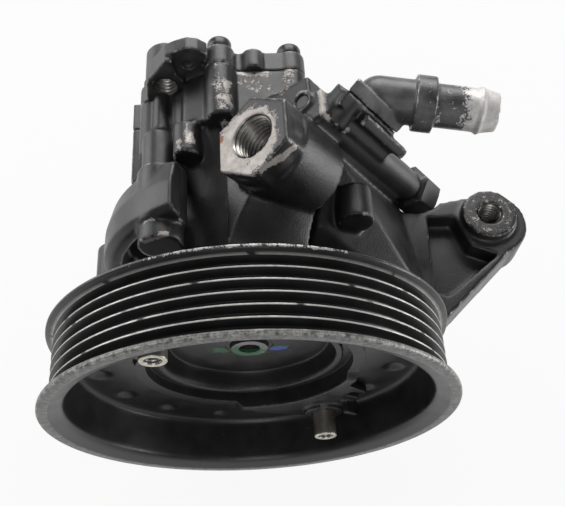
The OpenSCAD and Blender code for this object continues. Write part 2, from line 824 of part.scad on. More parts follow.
module ear_arm() {
    arm_outline = [
        [44, joint_y - 30], [69, joint_y - 33.5], [80, joint_y - 31.5], [ear_x + 6, ear_y + 7],
        [ear_x + 13, ear_y - 7], [67, snout_y + 3.5], [44, snout_y + 3.5]
    ];
    pocket = [
        [66, joint_y - 39], [ear_x - 12, ear_y + 1], [ear_x - 8, ear_y - 11],
        [ear_x + 1, ear_y - 15], [69, snout_y + 12], [64, snout_y + 14]
    ];
    difference() {
        union() {
            translate([0, 0, ear_base_z]) linear_extrude(arm_top_z - ear_base_z) {
                polygon(arm_outline);
                translate([ear_x + 1.5, ear_y - 2]) circle(ear_boss_r + 2.6);
            }
            translate([ear_x, ear_y, ear_base_z]) cylinder(r = ear_boss_r, h = ear_h);
        }
        translate([0, 0, arm_top_z - 7]) linear_extrude(8) polygon(pocket);
    }
}

module housing_bores() {
    rod_y(bearing_r + seat_gap, snout_y - 1, bearing_y + bearing_w + seat_gap);
    rod_y(bearing_r + 1, circlip_y - 0.1, circlip_y + circlip_t + seat_gap);
    rod_y(seal_r + seat_gap, bearing_y + bearing_w - 1, seal_y + seal_w + seat_gap);
    rod_y(shaft_r + 1.1, seal_y + seal_w - 1, cavity_y + 1);
    rod_y(cavity_r, cavity_y, joint_y + 1);
    groove_ring(cover_o_ring_r, joint_y - o_ring_groove, o_ring_groove + 1);
    for (turn = cover_bolt_turns)
        rod_y(cover_bolt_r + seat_gap, joint_y - bolt_thread_l - 2, joint_y + 1,
            cover_bolt_ring_r * cos(turn), cover_bolt_ring_r * sin(turn));
    in_valve_frame() {
        rod_u(valve_bore_r + run_gap, bore_u0, barrel_u1 + 1, valve_y, valve_n);
        rod_u(plug_flats / sqrt(3) + 0.8, barrel_u1, barrel_u1 + 2 * plug_head_l, valve_y, valve_n);
        rod_u(port_bore_r, port_u - 1, port_u + port_depth, port_y, port_n);
        rod_between(
            passage_r,
            [port_u + port_depth - 3, port_y + 3, port_n + 3],
            [bore_u0 + 4, valve_y, valve_n]
        );
        rod_u(seal_plug_r + seat_gap, seal_plug_u - 2, seal_plug_u + seal_plug_l, seal_plug_y, seal_plug_n);
    }
    in_flange_frame() {
        translate([suction_u, suction_q, 0]) cylinder(r = suction_bore_r, h = flange_p + 1);
        translate([elbow_bolt_u, elbow_bolt_q, flange_p - elbow_bolt_l - 2])
            cylinder(r = elbow_bolt_r + seat_gap, h = elbow_bolt_l + 3);
    }
    translate([ear_x, ear_y, ear_top_z - ear_bore_l]) cylinder(r = ear_bore_r, h = ear_bore_l + 1);
}

module front_housing() {
    color(paint_black) difference() {
        union() {
            housing_core();
            housing_bell();
            housing_bulge();
            housing_front_bosses();
            housing_left_side();
            housing_bolt_bosses();
            housing_valve_block();
            housing_suction_boss();
            housing_wing();
            ear_arm();
        }
        housing_bores();
    }
}

module rear_cover() {
    bump_x = 5;
    bump_z = 31.5;
    bump_r = 4;
    lobe_y = joint_y + 2.5;
    lobe_dimple = [-17.1, 33.5];
    lobe_dimple_r = 2;
    lug_pad = [
        [-32.3, 27.5], [-24.6, 38.6], [-22.4, 38.2], [-20.5, 28.8],
        [-19.3, 26.5], [-22.4, 18], [-30.4, 15.2], [-32.6, 20]
    ];
    lobe = [
        [-25, 24], [-24.8, 38.4], [-21, 40.4], [-17, 41.7],
        [-13.5, 41], [-10.3, 38.6], [-12.5, 34], [-10, 24]
    ];
    color(paint_black) difference() {
        union() {
            rod_y(barrel_r, joint_y, cover_rear_y - 2);
            for (turn = cover_bolt_turns)
                rod_y(cover_boss_r, joint_y, cover_rear_y,
                    cover_bolt_ring_r * cos(turn), cover_bolt_ring_r * sin(turn));
            rod_y(cover_hub_r, joint_y, cover_rear_y + cover_hub_l);
            rod_y(lug_r, joint_y, joint_y + lug_l, lug_x, lug_z);
            slab_y(joint_y, cover_rear_y) polygon(lug_pad);
            slab_y(lobe_y, cover_rear_y) polygon(lobe);
            rod_y(bump_r, joint_y, cover_rear_y, bump_x, bump_z);
            pad_y(top_pad, joint_y, cover_rear_y);
            pad_y(side_pad, joint_y, cover_rear_y + 4);
        }
        rod_y(bush_r + seat_gap, joint_y - 1, joint_y + bush_l + seat_gap);
        rod_y(lug_bore_r, joint_y - 1, joint_y + lug_l + 1, lug_x, lug_z);
        rod_y(lobe_dimple_r, lobe_y - 1, lobe_y + 1.5, lobe_dimple[0], lobe_dimple[1]);
        for (turn = cover_bolt_turns)
            translate([cover_bolt_ring_r * cos(turn), 0, cover_bolt_ring_r * sin(turn)]) {
                rod_y(cover_bolt_r + seat_gap, joint_y - 1, cover_rear_y + 1);
                rod_y(bolt_head_r + rotor_gap, cover_rear_y, cover_rear_y + lug_l);
            }
    }
}

module cover_bolts() {
    color(paint_black)
        for (turn = cover_bolt_turns)
            translate([cover_bolt_ring_r * cos(turn), 0, cover_bolt_ring_r * sin(turn)]) {
                rod_y(cover_bolt_r, joint_y - bolt_thread_l, cover_rear_y + 1);
                rod_y(bolt_head_r, cover_rear_y + seat_gap, cover_rear_y + bolt_head_h);
            }
}

module sealing_plug() {
    color(paint_black) in_valve_frame()
        rod_u(seal_plug_r, seal_plug_u - 0.2, seal_plug_u + seal_plug_l - seat_gap, seal_plug_y, seal_plug_n);
}

module valve_spool() {
    land_l = 5;
    waist_r = valve_bore_r - 1.4;
    color(ground_steel) in_valve_frame() difference() {
        rod_u(valve_bore_r, spool_u0, spool_u1, valve_y, valve_n);
        translate([spool_u0 + land_l, valve_y, valve_n]) rotate([0, 90, 0]) difference() {
            cylinder(r = valve_bore_r + 1, h = land_l);
            translate([0, 0, -1]) cylinder(r = waist_r, h = land_l + 2);
        }
        rod_u(spool_cup_r, spool_u1 - spool_cup_l, spool_u1 + 1, valve_y, valve_n);
    }
}

// Round wire wound on a helix between the spool and the plug
module valve_spring() {
    ring_steps = 14;
    wire_sides = 8;
    rings = spring_turns * ring_steps;
    coil_l = spring_u1 - spring_u0 - 2 * spring_wire_r;
    points = [
        for (i = [0 : rings], k = [0 : wire_sides - 1])
            let (turn = i * 360 / ring_steps, side = k * 360 / wire_sides)
            let (r = spring_r + spring_wire_r * cos(side))
                [
                    spring_u0 + spring_wire_r + coil_l * i / rings + spring_wire_r * sin(side),
                    valve_y + r * cos(turn),
                    valve_n + r * sin(turn)
                ]
    ];
    sides = [
        for (i = [0 : rings - 1], k = [0 : wire_sides - 1])
            let (next = (k + 1) % wire_sides)
                [
                    i * wire_sides + k, i * wire_sides + next,
                    (i + 1) * wire_sides + next, (i + 1) * wire_sides + k
                ]
    ];
    ends = [
        [for (k = [wire_sides - 1 : -1 : 0]) k],
        [for (k = [0 : wire_sides - 1]) rings * wire_sides + k]
    ];
    color(ground_steel) in_valve_frame() polyhedron(points, concat(sides, ends));
}

module valve_plug() {
    color(paint_black) in_valve_frame() difference() {
        union() {
            translate([barrel_u1 + seat_gap, valve_y, valve_n]) rotate([0, 90, 0]) rotate(30)
                cylinder(r = plug_flats / sqrt(3), h = plug_head_l, $fn = 6);
            rod_u(valve_bore_r, plug_u0, barrel_u1 + 1, valve_y, valve_n);
        }
        translate([plug_groove_u, valve_y, valve_n]) rotate([0, 90, 0]) difference() {
            cylinder(r = valve_bore_r + 1, h = plug_groove_w);
            translate([0, 0, -1]) cylinder(r = valve_bore_r - 2 * plug_o_ring_wire_r, h = plug_groove_w + 2);
        }
    }
}

module valve_plug_o_ring() {
    color(seal_rubber) in_valve_frame()
        translate([plug_groove_u + plug_groove_w / 2, valve_y, valve_n]) rotate([0, 90, 0])
            rotate_extrude() translate([valve_bore_r - plug_o_ring_wire_r + 0.02, 0])
                circle(plug_o_ring_wire_r, $fn = 24);
}

// Turns Z to the direction of the suction stub and moves to the elbow's bend
module on_stub() {
    flat = norm([elbow_dir[0], elbow_dir[1]]);
    tilt = atan2(flat, elbow_dir[2]);
    turn = atan2(elbow_dir[1], elbow_dir[0]);
    translate([suction_u, suction_q, bend_p]) rotate([0, tilt, turn]) children();
}

module suction_elbow() {
    seat_p = flange_p + seat_gap;
    body_l = 12.5;
    collar_l = 5.6;
    collar_rise = 2.1;
    bead_rise = 0.8;
    bead_w = 2.4;
    tip_l = 4.7;
    stub_start = body_l + collar_l;
    bead_start = stub_start + stub_l;
    color(paint_black) in_flange_frame() difference() {
        union() {
            translate([0, 0, seat_p]) linear_extrude(bend_p - seat_p) {
                flange_outline(0);
                translate([elbow_bolt_u, elbow_bolt_q]) circle(elbow_ear_r);
            }
            translate([suction_u, suction_q, bend_p]) sphere(elbow_r);
            on_stub() {
                cylinder(r = elbow_r, h = body_l);
                translate([0, 0, body_l - 1]) cylinder(r = stub_r + collar_rise, h = collar_l + 1);
                translate([0, 0, stub_start - 1]) cylinder(r = stub_r, h = stub_l + 2);
                translate([0, 0, bead_start]) cylinder(r1 = stub_r, r2 = stub_r + bead_rise, h = bead_w / 2);
                translate([0, 0, bead_start + bead_w / 2])
                    cylinder(r1 = stub_r + bead_rise, r2 = stub_r, h = bead_w / 2);
                translate([0, 0, bead_start + bead_w]) cylinder(r1 = stub_r, r2 = stub_r - 0.9, h = tip_l);
            }
        }
        translate([suction_u, suction_q, seat_p - elbow_r]) cylinder(r = 2 * elbow_r, h = elbow_r);
        translate([suction_u, suction_q, seat_p - 1]) cylinder(r = suction_bore_r, h = bend_p - seat_p + 1);
        translate([suction_u, suction_q, bend_p]) sphere(suction_bore_r);
        on_stub() cylinder(r = suction_bore_r, h = bead_start + bead_w + tip_l + 1);
        translate([elbow_bolt_u, elbow_bolt_q, seat_p - 1])
            cylinder(r = elbow_bolt_r + seat_gap, h = elbow_flange_t + 2);
        translate([suction_u, suction_q, seat_p - 1]) rotate_extrude()
            translate([elbow_groove_r, 0]) square([o_ring_groove, 1 + o_ring_groove]);
    }
}

module elbow_o_ring() {
    color(seal_rubber) in_flange_frame()
        translate([suction_u, suction_q, flange_p + seat_gap + o_ring_wire_r + 0.03]) rotate_extrude()
            translate([elbow_groove_r + o_ring_groove / 2, 0]) circle(o_ring_wire_r, $fn = 24);
}

module elbow_bolt() {
    head_h = 4;
    head_r = elbow_bolt_r + 1.9;
    color(plated_steel) in_flange_frame() translate([elbow_bolt_u, elbow_bolt_q, flange_p]) {
        translate([0, 0, -elbow_bolt_l]) cylinder(r = elbow_bolt_r, h = elbow_bolt_l + elbow_flange_t + 1);
        translate([0, 0, elbow_flange_t + seat_gap]) cylinder(r = head_r, h = head_h, $fn = 6);
    }
}

pulley();
drive_hub();
threaded_sleeves();
drive_shaft();
rotor();
vanes();
bearing_inner_ring();
bearing_balls();
bearing_cage();
bearing_outer_ring();
bearing_circlip();
shaft_seal();
front_pressure_plate();
cam_ring();
rear_pressure_plate();
dowel_pins();
cover_o_ring();
rear_bush();
front_housing();
rear_cover();
cover_bolts();
sealing_plug();
valve_spool();
valve_spring();
valve_plug();
valve_plug_o_ring();
suction_elbow();
elbow_o_ring();
elbow_bolt();
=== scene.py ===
import math

import bmesh
import bpy
import numpy as np
from mathutils import Matrix, Vector


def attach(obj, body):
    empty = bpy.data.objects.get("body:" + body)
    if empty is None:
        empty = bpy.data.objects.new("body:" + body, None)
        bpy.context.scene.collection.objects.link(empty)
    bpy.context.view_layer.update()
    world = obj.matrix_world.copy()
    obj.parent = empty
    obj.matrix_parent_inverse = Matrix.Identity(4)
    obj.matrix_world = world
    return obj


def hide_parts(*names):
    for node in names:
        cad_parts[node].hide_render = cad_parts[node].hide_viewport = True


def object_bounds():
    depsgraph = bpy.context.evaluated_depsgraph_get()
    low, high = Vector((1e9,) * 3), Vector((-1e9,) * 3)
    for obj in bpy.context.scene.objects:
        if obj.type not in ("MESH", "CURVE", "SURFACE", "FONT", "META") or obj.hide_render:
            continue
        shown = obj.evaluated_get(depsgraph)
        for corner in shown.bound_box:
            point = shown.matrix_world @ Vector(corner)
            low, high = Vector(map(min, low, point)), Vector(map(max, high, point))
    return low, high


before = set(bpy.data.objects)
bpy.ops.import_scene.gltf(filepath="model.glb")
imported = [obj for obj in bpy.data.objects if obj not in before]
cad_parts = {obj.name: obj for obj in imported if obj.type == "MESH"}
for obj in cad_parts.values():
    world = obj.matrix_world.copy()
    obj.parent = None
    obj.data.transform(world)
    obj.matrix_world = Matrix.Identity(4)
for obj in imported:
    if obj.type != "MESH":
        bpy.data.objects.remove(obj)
cad_low, cad_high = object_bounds()

MM = 0.001
TURN = 2 * math.pi

# Sizes of the pulley's section and of the dimples in its web, in millimetres
RIB_TIP_R = 61.3
GROOVE_COUNT = 6
GROOVE_PITCH = 3.56
GROOVE_DEPTH = 2.7
GROOVE_FLOOR_W = 0.9
RIB_TIP_W = 0.5
TRACK_HALF_W = GROOVE_COUNT * GROOVE_PITCH / 2
FRONT_LIP_W = 2.6
FRONT_LIP_R = RIB_TIP_R + 3.1
FRONT_LIP_Y = -TRACK_HALF_W - FRONT_LIP_W
REAR_LIP_W = 1.8
REAR_LIP_R = RIB_TIP_R + 2.4
REAR_LIP_Y = TRACK_HALF_W + REAR_LIP_W
LIP_LAND = 0.6
LIP_IN_R = 61.4
LIP_SLOPE_L = 2.0
RIM_IN_R = 56.5
RIM_DRAFT = 1.0
WEB_FRONT_Y = 4.0
WEB_REAR_Y = 8.0
WEB_IN_R = 34.05
DIMPLE_COUNT = 15
DIMPLE_RING_R = 48.0
DIMPLE_R = 3.4
DIMPLE_DEPTH = 1.7

# How far the curves of the pulley's corners reach from each corner
TIP_EASE = 0.12
CORNER_EASE = 0.45
LIP_IN_EASE = 0.5
LIP_OUT_EASE = 0.9
SLOPE_EASE = 1.5
WEB_FRONT_EASE = 2.5
WEB_REAR_EASE = 2.0

# The hub's sleeves, bowl, ring and plate, and the shaft's front end
SLEEVE_RING_R = 47.0
SLEEVE_TURN = math.radians(-56.5)
SLEEVE_R = 4.0
SLEEVE_BORE_R = 2.5
SLEEVE_TIP_Y = -9.0
SLEEVE_TAIL_Y = 8.2
SLEEVE_THREAD_L = 16.0
SHAFT_END_R = 5.9
BOWL_RIM_R = 27.8
CAD_BOWL_Y = 10.7
BOWL_Y = 12.0
BOWL_DOME = 1.3
BOWL_DOME_R = 26.0
RING_OUT_R = 33.4
RING_Y = 6.6
CAD_RING_Y = 9.2
PLATE_IN_R = 32.0
PLATE_OUT_R = 38.5
PLATE_Y = 3.5
EAR_END_TURN = math.radians(38)
PLATE_START_TURN = math.radians(44)

# Axes: down the valve's barrel, out of the housing, along the shaft and straight down
VALVE_TURN = math.radians(51.7)
BARREL_AXIS = np.array([math.cos(VALVE_TURN), 0.0, -math.sin(VALVE_TURN)])
OUT_AXIS = np.array([math.sin(VALVE_TURN), 0.0, math.cos(VALVE_TURN)])
SHAFT_AXIS = np.array([0.0, 1.0, 0.0])
DOWN_AXIS = np.array([0.0, 0.0, -1.0])
JOINT_Y = 97.98
VALVE_Y = JOINT_Y - 27.25
VALVE_N = 46.1


def valve_point(u, y, n):
    """Point at u along the valve barrel, y along the shaft and n out of the housing, in millimetres."""
    return u * BARREL_AXIS + y * SHAFT_AXIS + n * OUT_AXIS


# Hexagon plug of the valve
PLUG_FLATS = 15.0
PLUG_PLACE = valve_point(38.05, VALVE_Y, VALVE_N)
PLUG_HEIGHT = 10.0
PLUG_CONE_SLOPE = 1.75
PLUG_DISH_R = 5.2
PLUG_DISH_DEPTH = 0.6
PLUG_SHANK_R = 4.3
PLUG_SHANK_L = 8.0

# Threaded holes
COARSE_PITCH = 1.5
COARSE_DEPTH = 0.6
THREAD_END_GAP = 0.2
PORT_PLACE = valve_point(-37.0, JOINT_Y - 40.5, 33.2)
PORT_BORE_R = 7.2
PORT_DEPTH = 15.0
PORT_THREAD_DEPTH = 0.85
EAR_PLACE = np.array([87.7, JOINT_Y - 40.3, 0.0])
EAR_BORE_R = 4.25
EAR_BORE_L = 17.0
LUG_PLACE = np.array([-25.5, JOINT_Y, 25.7])
LUG_BORE_R = 4.25
LUG_L = 14.5

# Bolts of the rear cover
COVER_REAR_Y = JOINT_Y + 8.0
COVER_BOLT_TURNS = np.radians([58, 101, 155, 215, 270, 332])
COVER_BOLT_RING_R = 33.6
BOLT_R = 2.5
BOLT_TAIL_Y = JOINT_Y - 14.0
BOLT_HEAD_R = 4.2
BOLT_HEAD_H = 4.5
SOCKET_R = 2.1
SOCKET_LOBE = 0.35
SOCKET_DEPTH = 2.6


# Shader helpers

FLOAT = "NodeSocketFloat"
VECTOR = "NodeSocketVector"


def join(tree, value, socket):
    """Links a socket to an input, or sets a plain value on it."""
    if isinstance(value, bpy.types.NodeSocket):
        tree.links.new(value, socket)
    else:
        socket.default_value = value


def put(tree, kind, settings=None, **inputs):
    """Adds a node; an input that is a socket is linked, any other value is set on the node's own socket."""
    made = tree.nodes.new(kind)
    for key, value in (settings or {}).items():
        setattr(made, key, value)
    for key, value in inputs.items():
        join(tree, value, made.inputs[key.replace("_", " ")])
    return made


def maths(tree, operation, a, b=0.0):
    made = put(tree, "ShaderNodeMath", {"operation": operation})
    join(tree, a, made.inputs[0])
    join(tree, b, made.inputs[1])
    return made.outputs[0]


def vector_maths(tree, operation, a, b=None):
    made = put(tree, "ShaderNodeVectorMath", {"operation": operation})
    join(tree, a, made.inputs[0])
    if b:
        join(tree, b, made.inputs[1])
    return made.outputs


def stretch(tree, value, low, high, to_low=0.0, to_high=1.0):
    """Maps low..high to to_low..to_high and stays inside them."""
    ends = {"From_Min": low, "From_Max": high, "To_Min": to_low, "To_Max": to_high}
    return put(tree, "ShaderNodeMapRange", Value=value, **ends).outputs["Result"]


def blend_value(tree, factor, a, b):
    made = put(tree, "ShaderNodeMix")
    join(tree, factor, made.inputs["Factor"])
    join(tree, a, made.inputs[2])
    join(tree, b, made.inputs[3])
    return made.outputs[0]


def blend_colour(tree, factor, a, b):
    made = put(tree, "ShaderNodeMix", {"data_type": "RGBA"})
    join(tree, factor, made.inputs["Factor"])
    join(tree, a, made.inputs[6])
    join(tree, b, made.inputs[7])
    return made.outputs[2]


def object_point(tree):
    return put(tree, "ShaderNodeTexCoord").outputs["Object"]


def noise(tree, point, scale, detail=4.0, roughness=0.55):
    made = put(tree, "ShaderNodeTexNoise", Vector=point, Scale=scale, Detail=detail, Roughness=roughness)
    return made.outputs["Fac"]


def new_group(name, inputs, outputs):
    """Empty shader group with named sockets; gives its tree, its inputs and its outputs by name."""
    tree = bpy.data.node_groups.new(name, "ShaderNodeTree")
    for label, kind, default in inputs:
        socket = tree.interface.new_socket(label, in_out="INPUT", socket_type=kind)
        socket.default_value = default
    for label in outputs:
        tree.interface.new_socket(label, in_out="OUTPUT", socket_type=FLOAT)
    entry = tree.nodes.new("NodeGroupInput")
    leave = tree.nodes.new("NodeGroupOutput")
    return tree, entry.outputs, leave.inputs


def make_edge_wear():
    """Bare metal where a convex edge has rubbed: the edge value, broken up by coarse and fine noise."""
    inputs = [("Edge", FLOAT, 0.0), ("Amount", FLOAT, 1.0), ("Scale", FLOAT, 260.0)]
    tree, given, out = new_group("edge_wear", inputs, ["Mask"])
    point = object_point(tree)
    coarse = noise(tree, point, given["Scale"], 5.0, 0.6)
    fine = noise(tree, point, maths(tree, "MULTIPLY", given["Scale"], 5.0), 3.0)
    broken = maths(tree, "ADD", maths(tree, "MULTIPLY", coarse, 1.2), maths(tree, "MULTIPLY", fine, 0.5))
    level = maths(tree, "MULTIPLY", given["Edge"], given["Amount"])
    tree.links.new(stretch(tree, maths(tree, "ADD", level, broken), 1.25, 1.45), out["Mask"])
    return tree


def make_cast_grain():
    """Height of a painted sand casting: a fine grain with low swells."""
    inputs = [("Grain", FLOAT, 1400.0), ("Swell", FLOAT, 160.0)]
    tree, given, out = new_group("cast_grain", inputs, ["Height", "Mottle"])
    point = object_point(tree)
    grain = noise(tree, point, given["Grain"], 3.0, 0.6)
    swell = noise(tree, point, given["Swell"], 3.0, 0.5)
    height = maths(tree, "ADD", maths(tree, "MULTIPLY", grain, 0.55), maths(tree, "MULTIPLY", swell, 0.45))
    tree.links.new(height, out["Height"])
    tree.links.new(stretch(tree, swell, 0.3, 0.7), out["Mottle"])
    return tree


def make_rubbed_through():
    """Paint rubbed through to the metal: where a level plus middling and fine noise passes one half."""
    inputs = [("Level", FLOAT, 0.0), ("Scale", FLOAT, 420.0)]
    tree, given, out = new_group("rubbed_through", inputs, ["Mask"])
    point = object_point(tree)
    fine_scale = maths(tree, "MULTIPLY", given["Scale"], 4.5)
    middling = maths(tree, "SUBTRACT", noise(tree, point, given["Scale"], 4.0, 0.6), 0.5)
    fine = maths(tree, "SUBTRACT", noise(tree, point, fine_scale, 3.0, 0.6), 0.5)
    grit = maths(tree, "ADD", maths(tree, "MULTIPLY", middling, 1.5), maths(tree, "MULTIPLY", fine, 1.3))
    tree.links.new(stretch(tree, maths(tree, "ADD", given["Level"], grit), 0.48, 0.6), out["Mask"])
    return tree


def make_paint_dab():
    """Dab of marking paint: one inside its half-sizes about its centre, with a ragged border."""
    inputs = [
        ("Centre", VECTOR, (0, 0, 0)), ("Reach", VECTOR, (0.005, 0.005, 0.005)), ("Scale", FLOAT, 500.0),
    ]
    tree, given, out = new_group("paint_dab", inputs, ["Mask"])
    point = object_point(tree)
    away = vector_maths(tree, "SUBTRACT", point, given["Centre"])[0]
    shrunk = vector_maths(tree, "DIVIDE", away, given["Reach"])[0]
    length = vector_maths(tree, "LENGTH", shrunk)["Value"]
    grain = maths(tree, "SUBTRACT", noise(tree, point, given["Scale"], 5.0, 0.6), 0.5)
    level = maths(tree, "ADD", length, maths(tree, "MULTIPLY", grain, 2.2))
    tree.links.new(stretch(tree, level, 1.0, 0.8), out["Mask"])
    return tree


def make_paint_specks():
    """Tiny chips in the paint: the cores of a few random cells."""
    inputs = [("Scale", FLOAT, 160.0), ("Size", FLOAT, 0.07)]
    tree, given, out = new_group("paint_specks", inputs, ["Mask"])
    cells = put(tree, "ShaderNodeTexVoronoi", Vector=object_point(tree), Scale=given["Scale"])
    near = maths(tree, "LESS_THAN", cells.outputs["Distance"], given["Size"])
    tone = put(tree, "ShaderNodeSeparateColor", Color=cells.outputs["Color"])
    rare = maths(tree, "GREATER_THAN", tone.outputs[0], 0.8)
    tree.links.new(maths(tree, "MULTIPLY", near, rare), out["Mask"])
    return tree


EDGE_WEAR = make_edge_wear()
CAST_GRAIN = make_cast_grain()
RUBBED_THROUGH = make_rubbed_through()
PAINT_DAB = make_paint_dab()
PAINT_SPECKS = make_paint_specks()


def use_group(tree, group, **inputs):
    made = put(tree, "ShaderNodeGroup", {"node_tree": group})
    for key, value in inputs.items():
        join(tree, value, made.inputs[key])
    return made.outputs


def dab_mask(tree, centre, reach, **inputs):
    """Mask of one dab whose centre and half-sizes are in millimetres."""
    spot = {"Centre": Vector(centre) * MM, "Reach": Vector(reach) * MM}
    return use_group(tree, PAINT_DAB, **spot, **inputs)["Mask"]


def new_material(name):
    """Material with a lone Principled BSDF; gives the material, its tree and that shader."""
    material = bpy.data.materials.new(name)
    material.use_nodes = True
    return material, material.node_tree, material.node_tree.nodes["Principled BSDF"]


def mesh_value(tree, name):
    """Value that a piece's mesh holds for each of its points."""
    return put(tree, "ShaderNodeAttribute", {"attribute_name": name}).outputs["Fac"]


def link_bump(tree, shader, height, strength, distance):
    """Gives a shader the bumps of a height, with their full height in millimetres."""
    bump = put(tree, "ShaderNodeBump", Height=height, Strength=strength, Distance=distance * MM)
    tree.links.new(bump.outputs["Normal"], shader.inputs["Normal"])


BARE_ALUMINIUM = (0.43, 0.395, 0.37, 1)
CLEAN_ALUMINIUM = (0.72, 0.70, 0.68, 1)
BARE_STEEL = (0.50, 0.49, 0.47, 1)
RUST = (0.20, 0.085, 0.04, 1)
PAINT_BLACK = (0.0135, 0.0135, 0.0145, 1)
PAINT_GREY = (0.021, 0.021, 0.0225, 1)
MARK_GREEN = (0.035, 0.14, 0.06, 1)
MARK_BLUE = (0.06, 0.14, 0.42, 1)
DULL_SHARE = 0.6
PAINT_GLOSS = 0.45
METAL_SHARE = 0.95


def black_paint(
    name, metal, wear, grain, grain_height, rough, lines=False, specks=0.0, dabs=(), rust=(),
    dark=PAINT_BLACK, pale=PAINT_GREY, metallic=0.35,
):
    """Black paint over metal: mottled colour, cast grain, worn edges, rubbed places and small chips.

    The mesh gives each point its edge and rubbed values, and with lines also bare and scraped values.
    Dabs are (colour, centre, half-sizes) of marking paint, rust is (centre, half-sizes) of a stain on
    the metal.
    """
    material, tree, shader = new_material(name)
    cast = use_group(tree, CAST_GRAIN, Grain=grain)
    worn = use_group(tree, EDGE_WEAR, Edge=mesh_value(tree, "edge"), Amount=wear)["Mask"]
    rubbed = use_group(tree, RUBBED_THROUGH, Level=mesh_value(tree, "rubbed"))["Mask"]
    worn = maths(tree, "MAXIMUM", worn, rubbed)
    if specks:
        worn = maths(tree, "MAXIMUM", worn, use_group(tree, PAINT_SPECKS, Size=specks)["Mask"])
    if lines:
        patchy = stretch(tree, noise(tree, object_point(tree), 700.0, 8.0, 0.8), 0.4, 0.68, 0.1, 1.5)
        worn = maths(tree, "MAXIMUM", worn, mesh_value(tree, "bare"))
        worn = maths(tree, "MAXIMUM", worn, maths(tree, "MULTIPLY", mesh_value(tree, "scraped"), patchy))
    paint = blend_colour(tree, cast["Mottle"], dark, pale)
    stain = noise(tree, object_point(tree), 330.0, 6.0, 0.7)
    stained_metal = tuple(DULL_SHARE * level for level in metal[:3]) + (1,)
    bare = blend_colour(tree, stretch(tree, stain, 0.35, 0.75), metal, stained_metal)
    for centre, reach in rust:
        bare = blend_colour(tree, dab_mask(tree, centre, reach, Scale=700.0), bare, RUST)
    colour = blend_colour(tree, worn, paint, bare)
    for mark, centre, reach in dabs:
        colour = blend_colour(tree, dab_mask(tree, centre, reach), colour, mark)
    tree.links.new(colour, shader.inputs["Base Color"])
    tree.links.new(maths(tree, "MULTIPLY", worn, metallic), shader.inputs["Metallic"])
    paint_rough = stretch(tree, cast["Mottle"], 0.0, 1.0, rough - 0.05, rough + 0.06)
    metal_rough = stretch(tree, stain, 0.3, 0.7, 0.38, 0.6)
    tree.links.new(blend_value(tree, worn, paint_rough, metal_rough), shader.inputs["Roughness"])
    height = maths(tree, "SUBTRACT", cast["Height"], maths(tree, "MULTIPLY", worn, 0.35))
    link_bump(tree, shader, height, 1.0, grain_height)
    shader.inputs["Specular IOR Level"].default_value = PAINT_GLOSS
    return material


def metal_finish(name, colour, dark, rough, scale, lines=None, dabs=()):
    """Plain metal with stains and fine marks.

    The marks are drawn out by lines if given. Dabs are (colour, centre, half-sizes) of marking paint.
    """
    material, tree, shader = new_material(name)
    point = object_point(tree)
    stain = noise(tree, point, scale, 6.0, 0.65)
    mixed = blend_colour(tree, stretch(tree, stain, 0.35, 0.72), colour, dark)
    metallic = METAL_SHARE
    for mark, centre, reach in dabs:
        spot = dab_mask(tree, centre, reach)
        mixed = blend_colour(tree, spot, mixed, mark)
        metallic = maths(tree, "SUBTRACT", metallic, maths(tree, "MULTIPLY", spot, 0.9))
    join(tree, metallic, shader.inputs["Metallic"])
    tree.links.new(mixed, shader.inputs["Base Color"])
    tree.links.new(stretch(tree, stain, 0.3, 0.7, rough, rough + 0.18), shader.inputs["Roughness"])
    if lines:
        drawn = put(tree, "ShaderNodeMapping", Vector=point, Scale=lines)
        mark_height = noise(tree, drawn.outputs["Vector"], 900.0, 3.0, 0.6)
    else:
        mark_height = noise(tree, point, 1500.0, 3.0, 0.6)
    link_bump(tree, shader, mark_height, 0.6, 0.03)
    return material


def soft_rubber(name, colour, bloomed):
    """Matt seal rubber with a faint bloom."""
    material, tree, shader = new_material(name)
    bloom = noise(tree, object_point(tree), 420.0, 5.0, 0.6)
    tone = stretch(tree, bloom, 0.35, 0.7)
    tree.links.new(blend_colour(tree, tone, colour, bloomed), shader.inputs["Base Color"])
    tree.links.new(stretch(tree, bloom, 0.3, 0.7, 0.6, 0.78), shader.inputs["Roughness"])
    link_bump(tree, shader, bloom, 0.4, 0.04)
    return material


HOUSING_PAINT = black_paint(
    "housing_paint", BARE_ALUMINIUM, wear=0.47, grain=2300.0, grain_height=0.16, rough=0.34, specks=0.04,
    rust=[((-6.6, 62.0, 42.0), (1.6, 2.2, 1.6))],
)
COVER_PAINT = black_paint(
    "cover_paint", BARE_ALUMINIUM, wear=0.6, grain=2300.0, grain_height=0.16, rough=0.36,
    dark=(0.022, 0.022, 0.0235, 1), pale=(0.06, 0.06, 0.062, 1),
)
ELBOW_PAINT = black_paint(
    "elbow_paint", CLEAN_ALUMINIUM, wear=0.6, grain=2300.0, grain_height=0.12, rough=0.32,
    dark=(0.03, 0.03, 0.0315, 1), pale=(0.13, 0.13, 0.134, 1),
)
PULLEY_PAINT = black_paint(
    "pulley_paint", BARE_STEEL, wear=0.3, grain=1700.0, grain_height=0.08, rough=0.33, lines=True,
    metallic=0.6,
)
HUB_PAINT = black_paint(
    "hub_paint", BARE_STEEL, wear=0.25, grain=1500.0, grain_height=0.16, rough=0.36,
    dabs=[
        (MARK_GREEN, (-9.5, 10.0, -4.0), (3.6, 4.0, 2.6)),
        (MARK_GREEN, (2.0, 10.0, -8.0), (3.4, 4.0, 1.8)),
        (MARK_BLUE, (9.0, 9.0, -4.0), (4.5, 4.0, 2.4)),
    ],
)
BOLT_PAINT = black_paint("bolt_paint", BARE_STEEL, wear=0.25, grain=1600.0, grain_height=0.04, rough=0.36)
ALONG_SHAFT = (1, 6, 1)
